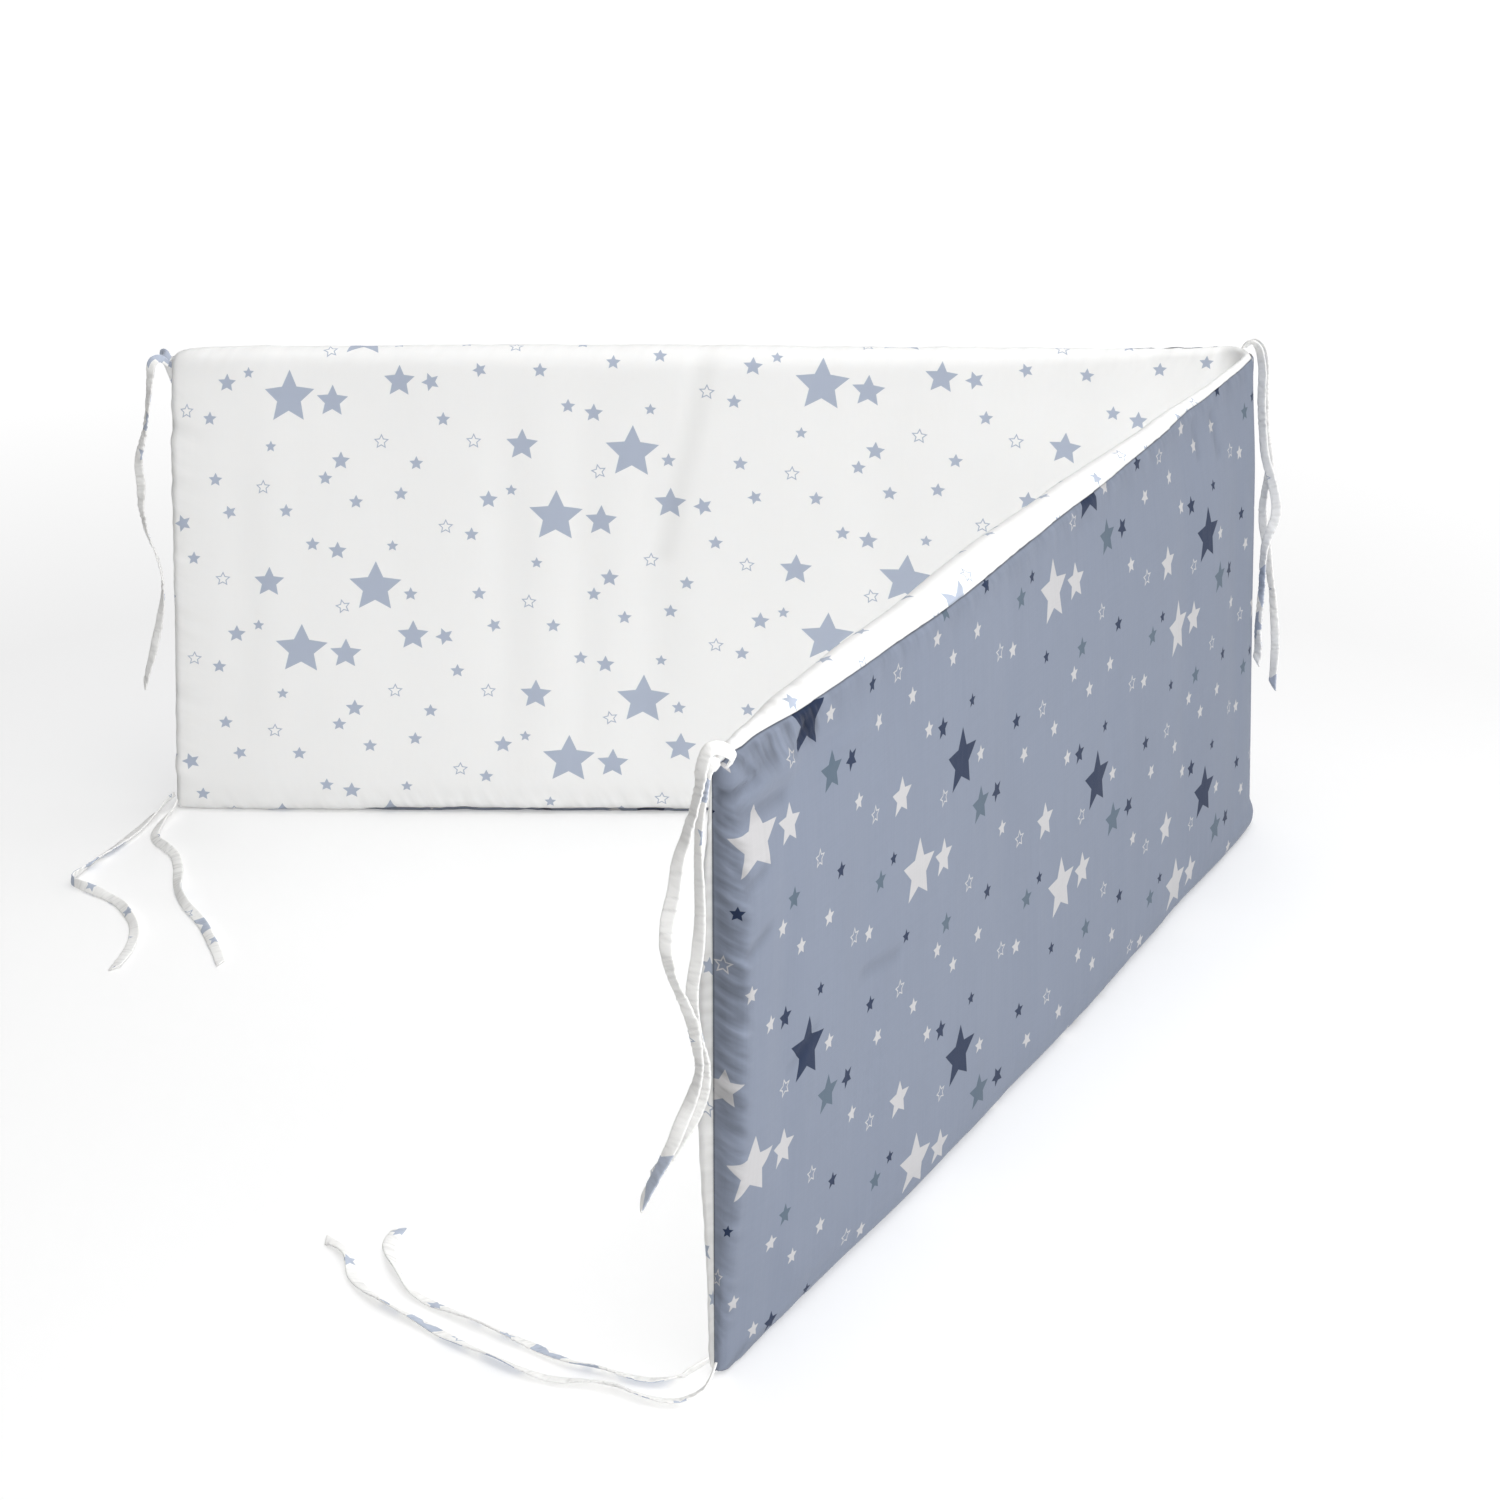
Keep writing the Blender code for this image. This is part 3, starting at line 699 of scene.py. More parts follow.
    # The ends close in a squarish curve on to their seam
    end_depth: float = 0.0070
    end_power: float = 3.0
    end_steps: int = 12
    near_seam_shift: float = -0.0043  # of its top, from the middle of the end towards the inner face
    side_steps: int = 110
    arc_steps: int = 18  # even, because the seam is on the middle one
    long_step: float = 0.0040
    fold_step: float = 0.0015
    fold_zone: float = 0.032
    # a hollow this deep gets the full painted shade
    full_hollow: float = 0.0022  # the depth at which a hollow is fully shaded
    end_zone: float = 0.070  # how far the ends' own puckers reach
    strip_width: float = 0.012  # of the gathered cloth that shows on the near end
    strip_fade: float = 0.010
    strip_pucker: float = 0.0010
    seam_pucker: float = 0.0008
    seam_pucker_run: float = 0.010  # over which the seams' puckers die away
    pucker_pitch: float = 0.011
    left_pucker: float = 0.0013
    left_pucker_run: float = 0.013
    left_pucker_pitch: float = 0.024
    left_pucker_sink: float = 0.6  # how much more of the left end's puckers sinks than stands out
    seam_gather: float = 0.4
    seam_gather_run: float = 0.009
    inner_gather: float = 0.35  # of the near end's inner cloth, next to its outer cloth
    # The cloth sinks into its seams and swells beside them
    seam_groove: float = 0.0007
    seam_groove_width: float = 0.0020
    seam_swell: float = 0.0003
    seam_swell_place: float = 0.006
    seam_swell_width: float = 0.004
    # Gentle unevenness of the filling: height, run along, run up, and which waves
    waves: tuple = ((0.0009, 0.13, 0.16, 0.0), (0.00045, 0.040, 0.22, 9.0))
    outer_waves: tuple = (0.00016, 0.011, 0.18, 20.0)
    wave_rows: dict[Face, float] = field(default_factory=lambda: {Face.OUTER: 1.0, Face.INNER: 2.0})
    points: list[list[Vector]] = field(default_factory=list)

    @property
    def sides(self) -> int:
        """Points round the cross-section."""
        return 2 * (self.side_steps + self.arc_steps)

    def centre_line(self, along: float) -> tuple[Vector, float]:
        """Plan place and heading of the centre line at a distance from its left end."""
        turn = self.left_heading - self.near_heading
        bend = self.fold_radius * turn
        left = compass(self.left_heading)
        fold_start = Vector(self.fold_corner) - left * self.fold_radius * math.tan(turn / 2)
        into_fold = along - (self.half_length - bend / 2)
        if into_fold <= 0:
            return fold_start + left * into_fold, self.left_heading
        centre = fold_start + compass(self.left_heading - math.pi / 2) * self.fold_radius
        heading = self.left_heading - min(into_fold, bend) / self.fold_radius
        place = centre + compass(heading + math.pi / 2) * self.fold_radius
        return place + compass(heading) * max(into_fold - bend, 0.0), heading

    def lean(self, along: float, height: float) -> Vector:
        """How far the cloth stands out in plan at this height: its foot outwards, its top inwards."""
        fold_share = 1.0 - abs(along - self.half_length) / self.half_length
        outwards = compass(self.left_heading) - compass(self.near_heading)
        at_end = -compass(self.left_heading) * self.left_spread
        if along > self.half_length:
            at_end = compass(self.near_heading) * self.near_spread
        spread = outwards.normalized() * self.fold_spread * fold_share + at_end * (1.0 - fold_share)
        moved = spread * (1.0 - 2.0 * height / self.height)
        if along < self.half_length:
            moved += compass(self.left_heading) * self.left_tuck * (1.0 - fold_share)
        return moved

    def rings(self) -> list[tuple[float, float]]:
        """Every cross-section: its distance along the centre line, and its thickness as a share."""
        length = 2 * self.half_length
        zone = self.half_length - self.fold_zone
        ends = []
        for step in range(self.end_steps):
            angle = math.pi / 2 * step / self.end_steps
            ends.append((self.end_depth * (1.0 - math.cos(angle) ** (2 / self.end_power)),
                         math.sin(angle) ** (2 / self.end_power)))
        long_count = math.ceil((zone - self.end_depth) / self.long_step)
        fold_count = math.ceil(2 * self.fold_zone / self.fold_step)
        run = [self.end_depth + (zone - self.end_depth) * i / long_count for i in range(long_count)]
        fold = [zone + 2 * self.fold_zone * i / fold_count for i in range(fold_count + 1)]
        left = ends + [(place, 1.0) for place in run]
        return left + [(place, 1.0) for place in fold] + [(length - place, share) for place, share in reversed(left)]

    def upright_crease(self, along: float, outer: bool) -> float:
        """How deep the upright creases are in one face at a distance along the panel."""
        depth = 0.0
        for place, half_width, inner_depth, outer_depth in self.upright_creases:
            reach = abs(along - place) / half_width
            if reach < 1.0:
                depth += (outer_depth if outer else inner_depth) * 0.5 * (1.0 + math.cos(math.pi * reach))
        return depth

    def arc_angle(self, step: int, seam_angle: float) -> float:
        """The angle, in radians from 0 to pi, of a step round an edge whose middle step is its seam."""
        half = self.arc_steps // 2
        if step <= half:
            return seam_angle * step / half
        return seam_angle + (math.pi - seam_angle) * (step - half) / half

    def section_point(self, step: int, along: float, squeeze: float) -> tuple[float, float]:
        """Distance out from the centre line and height of one point of the cross-section.

        The steps run up the outer side, over the top, down the inner side and round the foot.
        """
        from_end = min(along, 2 * self.half_length - along)
        corner = max(0.0, 1.0 - from_end / self.corner_round) ** 2
        top = read_table(self.profile, along, 1) - self.corner_drop * corner
        body = read_table(self.profile, along, 2) / 2
        edge = read_table(self.profile, along, 3) / 2 * squeeze
        foot = read_table(self.profile, along, 4) / 2 * squeeze
        body *= squeeze

        over_top = step - self.side_steps
        down_inner = over_top - self.arc_steps
        round_foot = down_inner - self.side_steps
        if round_foot >= 0:
            seam_angle = math.radians(read_table(self.foot_seam, along, 1))
            angle = math.pi + self.arc_angle(round_foot, seam_angle)
            height = self.foot_round + (self.foot_round + self.foot_sink) * math.sin(angle)
            return foot * math.cos(angle), max(height, 0.0) + self.corner_lift * corner
        if 0 <= over_top <= self.arc_steps:
            seam_angle = math.radians(read_table(self.top_seam, along, 1))
            angle = self.arc_angle(over_top, seam_angle)
            return edge * math.cos(angle), top - edge + edge * math.sin(angle)

        outer = over_top < 0
        share = step / self.side_steps if outer else 1.0 - down_inner / self.side_steps
        height = self.foot_round + share * (top - edge - self.foot_round)
        thick = body * (1.0 + self.bulge * math.sin(math.pi * height / self.height))
        thick += (edge - thick) * ease((height - (top - edge - self.top_blend)) / self.top_blend)
        near_share = ease((along - self.near_taper_start) / self.near_taper_run)
        taper = self.foot_round + self.near_foot_taper * near_share
        thick += (foot - thick) * ease(1.0 - (height - self.foot_round) / taper)
        thick -= self.upright_crease(along, outer) * math.sin(math.pi * share) * squeeze
        return (thick if outer else -thick), height

    def point(self, step: int, along: float, squeeze: float) -> Vector:
        """The place of one point of the panel's surface, before its fine folds."""
        out, height = self.section_point(step, along, squeeze)
        if along > self.half_length:
            out += self.near_seam_shift * (1.0 - squeeze) * height / self.height
        place, heading = self.centre_line(along)
        bow_top = read_table(self.bow, along, 1)
        bow_foot = read_table(self.bow, along, 2)
        out += bow_foot + (bow_top - bow_foot) * height / self.height
        plan = place + compass(heading + math.pi / 2) * out + self.lean(along, height)
        return Vector((plan.x, plan.y, height))

    @property
    def top_seam_side(self) -> int:
        """The side of the cross-section that the top seam follows."""
        return self.side_steps + self.arc_steps // 2

    @property
    def foot_seam_side(self) -> int:
        """The side of the cross-section that the foot seam follows."""
        return 2 * self.side_steps + self.arc_steps + self.arc_steps // 2

    def is_outer(self, side: int) -> bool:
        """Whether the cloth between this side and the next is the outer cloth."""
        return side < self.top_seam_side or side >= self.foot_seam_side

    def measure_cloth(self) -> tuple[dict, dict]:
        """Measures the cloth on the smooth surface.

        Returns:
            For each face, the distance along its cloth at each ring; and for each face, the height on its
            cloth at each (ring, side), where the outer cloth's foot has negative sides.
        """
        middle = {Face.OUTER: self.side_steps // 2,
                  Face.INNER: self.side_steps + self.arc_steps + self.side_steps // 2}
        reach = {Face.OUTER: range(self.foot_seam_side - self.sides, self.top_seam_side + 1),
                 Face.INNER: range(self.foot_seam_side, self.top_seam_side - 1, -1)}
        along: dict[Face, list[float]] = {}
        up: dict[Face, dict[tuple[int, int], float]] = {}
        for face in Face:
            side = middle[face]
            distance = [0.0]
            for before, after in zip(self.points, self.points[1:]):
                distance.append(distance[-1] + (after[side] - before[side]).length)
            along[face] = distance
            heights = {}
            for ring, row in enumerate(self.points):
                total, last = 0.0, None
                run = {}
                for each in reach[face]:
                    here = row[each % self.sides]
                    total += (here - last).length if last is not None else 0.0
                    run[each] = total
                    last = here
                base = row[side].z - run[side]
                heights.update({(ring, each): value + base for each, value in run.items()})
            up[face] = heights
        return along, up

    def seam_distance(self, ring: int, side: int, along: dict, up: dict) -> tuple[float, float, float]:
        """Measures from the nearest seam.

        Args:
            ring: Which cross-section the point is on.
            side: Which side of it.
            along: What measure_cloth gives for distances along.
            up: What it gives for heights.

        Returns:
            Distance from the nearest seam, how far along it the nearest point is, and how much further off the
            next seam is.
        """
        found = []
        for face in Face:
            key = (ring, side - self.sides) if face is Face.OUTER and side >= self.foot_seam_side else (ring, side)
            if key not in up[face]:
                continue
            here = up[face][key]
            foot = self.foot_seam_side - self.sides if face is Face.OUTER else self.foot_seam_side
            reach = along[face]
            for distance, place in ((up[face][(ring, self.top_seam_side)] - here, reach[ring]),
                                    (here - up[face][(ring, foot)], reach[ring]),
                                    (reach[ring], here), (reach[-1] - reach[ring], here)):
                found.append((abs(distance), place))
        found.sort()
        return *found[0], found[1][0] - found[0][0]

    def end_gather(self, face: Face, height: float, distance: float) -> float:
        """How tightly the near end's strip of cloth is gathered, from 0 to 1, at a distance from its seam."""
        pull = ease(distance / 0.003) * (1.0 - ease((distance - self.strip_width) / self.strip_fade))
        pull *= 0.5 + 0.5 * ease((height - 0.06) / 0.12)
        return pull * (1.0 if face is Face.OUTER else self.inner_gather)

    def gather(self, face: Face, along: float, height: float, seam: tuple[float, float, float]) -> float:
        """How tightly any seam gathers the cloth at one point, with the arguments of pucker_depth."""
        distance, _, clear = seam
        pull = self.seam_gather * math.exp(-distance / self.seam_gather_run)
        if 2 * self.half_length - along < self.end_zone:
            pull = max(pull, self.end_gather(face, height, distance))
        return pull * ease((clear - 0.005) / 0.008)  # none where two seams are as near

    def pucker_depth(self, face: Face, along: float, height: float, seam: tuple[float, float, float]) -> float:
        """How far the seams' puckers and the listed creases lift the surface at one point.

        Args:
            face: The face that the point is on.
            along: Its distance along the centre line.
            height: Its height.
            seam: What seam_distance gives for it.

        Returns:
            The distance along the surface's normal.
        """
        distance, place, _ = seam
        pull = math.exp(-distance / self.seam_pucker_run)
        depth = self.seam_pucker * pull * ripple(place, self.pucker_pitch, self.wave_rows[face])
        if 2 * self.half_length - along < self.end_zone:
            pull = self.end_gather(face, height, distance)
            depth += self.strip_pucker * pull * ripple(height + GATHER_SLANT * distance, self.pucker_pitch, 30.0)
        if along < self.end_zone:
            pull = math.exp(-along / self.left_pucker_run) * ease(distance / 0.004)
            waves = ripple(height + 0.3 * along, self.left_pucker_pitch, 31.0)
            depth += self.left_pucker * pull * (waves - self.left_pucker_sink)
        spot = Vector((along, height))
        return depth - sum(crease.depth_at(spot) for crease in HAND_CREASES if crease.face is face)

    def fold_depth(self, face: Face, along: float, height: float, distance: float) -> float:
        """How far the surface stands out of its smooth shape at one point, apart from the puckers.

        Args:
            face: The face that the point is on.
            along: Its distance along the centre line.
            height: Its height.
            distance: Its distance from the nearest seam.

        Returns:
            The distance along the surface's normal.
        """
        depth = -self.seam_groove * math.exp(-(distance / self.seam_groove_width) ** 2)
        depth += self.seam_swell * math.exp(-((distance - self.seam_swell_place) / self.seam_swell_width) ** 2)
        for size, run, rise, row in self.waves:
            depth += size * noise.noise(Vector((along / run, height / rise, self.wave_rows[face] + row)))
        if face is Face.OUTER:
            size, run, rise, row = self.outer_waves
            depth += size * noise.noise(Vector((along / run, height / rise, row)))
        return depth

    def build(self, materials: list[bpy.types.Material]) -> bpy.types.Object:
        """Builds the panel's mesh and cloth map.

        Args:
            materials: The inner cloth's material and the outer cloth's.

        Returns:
            The panel.
        """
        rings = self.rings()
        self.points = [[self.point(side, *ring) for side in range(self.sides)] for ring in rings]
        along, up = self.measure_cloth()
        mesh = open_cylinder(self.sides, len(rings), capped=False)
        ring_of = mesh.verts.layers.int.new("ring")
        side_of = mesh.verts.layers.int.new("side")
        seam_of, hollow_of, place_of, gather_of = (
            mesh.verts.layers.float.new(name)
            for name in (SEAM_ATTRIBUTE, HOLLOW_ATTRIBUTE, PLACE_ATTRIBUTE, GATHER_ATTRIBUTE))
        for vert in mesh.verts:
            vert[side_of], vert[ring_of] = side_and_ring(vert, self.sides, len(rings))
        for vert in mesh.verts:
            vert.co = self.points[vert[ring_of]][vert[side_of]]
        bmesh.ops.recalc_face_normals(mesh, faces=mesh.faces[:])
        mesh.normal_update()
        outwards = [vert.normal.copy() for vert in mesh.verts]
        for vert, normal in zip(mesh.verts, outwards):
            side, ring = vert[side_of], vert[ring_of]
            seam = self.seam_distance(ring, side, along, up)
            vert[seam_of], vert[place_of], _ = seam
            place, squeeze = rings[ring]
            face = Face.OUTER if self.is_outer(side) else Face.INNER
            vert[gather_of] = self.gather(face, place, vert.co.z, seam)
            if squeeze > 0.0:
                pucker = self.pucker_depth(face, place, vert.co.z, seam)
                # painted shade in the puckers' troughs, through the hollow attribute
                vert[hollow_of] = min(max(-pucker / self.full_hollow, 0.0), 1.0)
                vert.co += normal * (pucker + self.fold_depth(face, place, vert.co.z, seam[0]))
            vert.co.z = max(vert.co.z, 0.0)
        self.lay_cloth_map(mesh, ring_of, side_of, along, up)
        bmesh.ops.remove_doubles(mesh, verts=mesh.verts, dist=1e-6)
        piece = add_piece("star_panel", mesh, materials)
        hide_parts("padded_panel")
        return piece

    def lay_cloth_map(self, mesh: bmesh.types.BMesh, ring_of: object, side_of: object, along: dict,
                      up: dict) -> None:
        """Gives every face its cloth, and its corners their place in metres of that cloth.

        Args:
            mesh: The panel's mesh.
            ring_of: The layer with each point's cross-section.
            side_of: The layer with each point's side of it.
            along: What measure_cloth gives for distances along.
            up: What it gives for heights.
        """
        cloth_map = mesh.loops.layers.uv.new(CLOTH_MAP)
        for polygon in mesh.faces:
            sides = sorted({vert[side_of] for vert in polygon.verts})
            wraps = sides[-1] - sides[0] > self.sides // 2
            first = sides[-1] if wraps else sides[0]
            outer = self.is_outer(first)
            polygon.material_index = 1 if outer else 0
            face, pulls = (Face.OUTER, self.outer_pull) if outer else (Face.INNER, self.inner_pull)
            for loop in polygon.loops:
                ring, side = loop.vert[ring_of], loop.vert[side_of]
                if outer and first >= self.foot_seam_side and side != 0:
                    side -= self.sides
                place, height = along[face][ring], up[face][(ring, side)]
                if outer:
                    place = along[face][-1] - place
                foot_along, top_along, foot_up, top_up = (read_table(pulls, place, column) for column in range(1, 5))
                share = height / self.height
                loop[cloth_map].uv = (place - foot_along - (top_along - foot_along) * share,
                                      height - foot_up - (top_up - foot_up) * share)


# ---------------------------------------------------------------- the ties


class Lie(Enum):
    """How a tie lies, with the direction that its width is turned from."""

    HANGING = (0.0, 1.0, 0.0)
    LYING = (0.0, 0.0, 1.0)


@dataclass
class RibbonTie:
    """One free ribbon end, along a route of (x, y, z in millimetres, turn in degrees)."""

    name: str
    lie: Lie
    route: tuple
    length: float
    print_start: float = 0.0
    width: float = 0.0060
    thickness: float = 0.0012
    root_width: float = 0.0040
    root_run: float = 0.016
    floor_clearance: float = 0.0002
    sides: int = 16
    step: float = 0.0006
    curve_samples: int = 12
    look_ahead: int = 5  # steps each way from which its direction is read
    path_stride: int = 6
    flat_power: float = 0.6  # how square its edges are
    thick_power: float = 0.5
    edge_wander: float = 0.05
    pucker: float = 0.00050
    lying_pucker: float = 0.6  # of a lying ribbon's puckers, next to a hanging one's
    fine_pitch: float = 0.0026
    wide_pitch: float = 0.0060
    wide_share: float = 0.7
    # how strongly the ribbon's puckers set its painted shade in their hollows
    hollow_gain: float = 2.2
    cup: float = 0.0005
    cut_slant: float = 0.9
    cut_run: float = 0.007
    back_shift: float = 0.031  # from the front's print to the back's

    def smooth_route(self, step: float) -> list[tuple[Vector, float]]:
        """Evenly spaced (place, turn) along a smooth curve through the route's rows."""
        points = [Vector(row) for row in self.route]
        points = [2 * points[0] - points[1]] + points + [2 * points[-1] - points[-2]]
        dense = []
        for before, start, end, after in zip(points, points[1:], points[2:], points[3:]):
            for i in range(self.curve_samples):
                t = i / self.curve_samples
                dense.append(0.5 * (2 * start + (end - before) * t
                                    + (2 * before - 5 * start + 4 * end - after) * t ** 2
                                    + (3 * start - before - 3 * end + after) * t ** 3))
        dense.append(points[-2])
        reach = [0.0]
        for start, end in zip(dense, dense[1:]):
            reach.append(reach[-1] + (end.xyz - start.xyz).length * MM)
        count = math.ceil(reach[-1] / step)
        even, leg = [], 0
        for i in range(count + 1):
            wanted = reach[-1] * i / count
            while leg < len(dense) - 2 and reach[leg + 1] < wanted:
                leg += 1
            mixed = dense[leg].lerp(dense[leg + 1], (wanted - reach[leg]) / (reach[leg + 1] - reach[leg]))
            even.append((mixed.xyz * MM, math.radians(mixed.w)))
        return even

    @property
    def row(self) -> float:
        """Which waves this ribbon's puckers follow."""
        return self.print_start * 100

    def frames(self) -> list[tuple[Vector, Vector, Vector, float]]:
        """Each cross-section's place, its forward and sideways directions and half its width."""
        route = self.smooth_route(self.step)
        facing = Vector(self.lie.value)
        frames = []
        for i, (place, turn) in enumerate(route):
            ahead, behind = min(i + self.look_ahead, len(route) - 1), max(i - self.look_ahead, 0)
            forward = (route[ahead][0] - route[behind][0]).normalized()
            across = Matrix.Rotation(turn, 3, forward) @ forward.cross(facing).normalized()
            grown = ease(i * self.step / self.root_run)
            half_width = (self.root_width + (self.width - self.root_width) * grown) / 2
            half_width *= 1.0 + self.edge_wander * ripple(i * self.step, 0.014, self.row)
            if self.lie is Lie.LYING:
                lowest = half_width * abs(across.z) + self.thickness / 2 + self.floor_clearance
                place = Vector((place.x, place.y, max(place.z, lowest)))
            frames.append((place, forward, across, half_width))
        return frames

    def puckers(self, distance: float, flat: float, half_width: float) -> float:
        """How strongly the ribbon is puckered at one point.

        Args:
            distance: How far along the ribbon the point is.
            flat: How far across it, from -1 to 1.
            half_width: Half the ribbon's width there.

        Returns:
            The puckers' height, as a share of their usual one.
        """
        pucker = ripple(distance + 0.25 * flat * half_width, self.fine_pitch, self.row + 2)
        pucker += self.wide_share * ripple(distance - 0.4 * flat * half_width, self.wide_pitch, self.row + 5)
        pucker *= 0.45 + 0.55 * ease(0.5 + 1.6 * ripple(distance, 0.060, self.row + 8))
        return pucker * ease(distance / self.root_run)

    def shape(self, mesh: bmesh.types.BMesh, frames: list[tuple[Vector, Vector, Vector, float]]) -> None:
        """Moves an open_cylinder's points on to the ribbon and lays its cloth map.

        Args:
            mesh: The cylinder, with one ring for each cross-section.
            frames: What frames gives.
        """
        cloth_map = mesh.loops.layers.uv.new(CLOTH_MAP)
        hollow_of = mesh.verts.layers.float.new(HOLLOW_ATTRIBUTE)
        spread = {}
        total = (len(frames) - 1) * self.step
        for vert in mesh.verts:
            angle = math.atan2(vert.co.y, vert.co.x)
            i = round(vert.co.z * (len(frames) - 1))
            place, forward, across, half_width = frames[i]
            through = forward.cross(across)
            flat = math.copysign(abs(math.cos(angle)) ** self.flat_power, math.cos(angle))
            thick = math.copysign(abs(math.sin(angle)) ** self.thick_power, math.sin(angle))
            distance = i * self.step
            pucker = self.puckers(distance, flat, half_width)
            # painted shade in the ribbon's pucker troughs, through the hollow attribute
            vert[hollow_of] = min(max(-pucker * math.copysign(self.hollow_gain, thick), 0.0), 1.0)
            pucker *= self.pucker * (self.lying_pucker if self.lie is Lie.LYING else 1.0)
            cup = self.cup * flat * flat * ripple(distance, 0.05, self.row + 1)
            near_cut = ease(1.0 - (total - distance) / self.cut_run)
            spread[vert] = (distance, flat * half_width, thick)
            vert.co = (place + across * flat * half_width + through * (thick * self.thickness / 2 + pucker + cup)
                       + forward * flat * half_width * self.cut_slant * near_cut)
            vert.co.z = max(vert.co.z, self.floor_clearance / 2)
        for polygon in mesh.faces:
            back = sum(spread[vert][2] for vert in polygon.verts) < 0
            for loop in polygon.loops:
                distance, aside, _ = spread[loop.vert]
                loop[cloth_map].uv = (self.print_start + distance, (self.back_shift - aside if back else aside))

    def build(self, material: bpy.types.Material) -> bpy.types.Object:
        """Args:
            material: The ribbon's material.

        Returns:
            The ribbon.
        """
        frames = self.frames()
        mesh = open_cylinder(self.sides, len(frames), capped=True)
        self.shape(mesh, frames)
        bmesh.ops.recalc_face_normals(mesh, faces=mesh.faces[:])
        piece = add_piece("ribbon_" + self.name, mesh, [material])
        node = "tie_" + self.name
        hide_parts(node)
        return piece


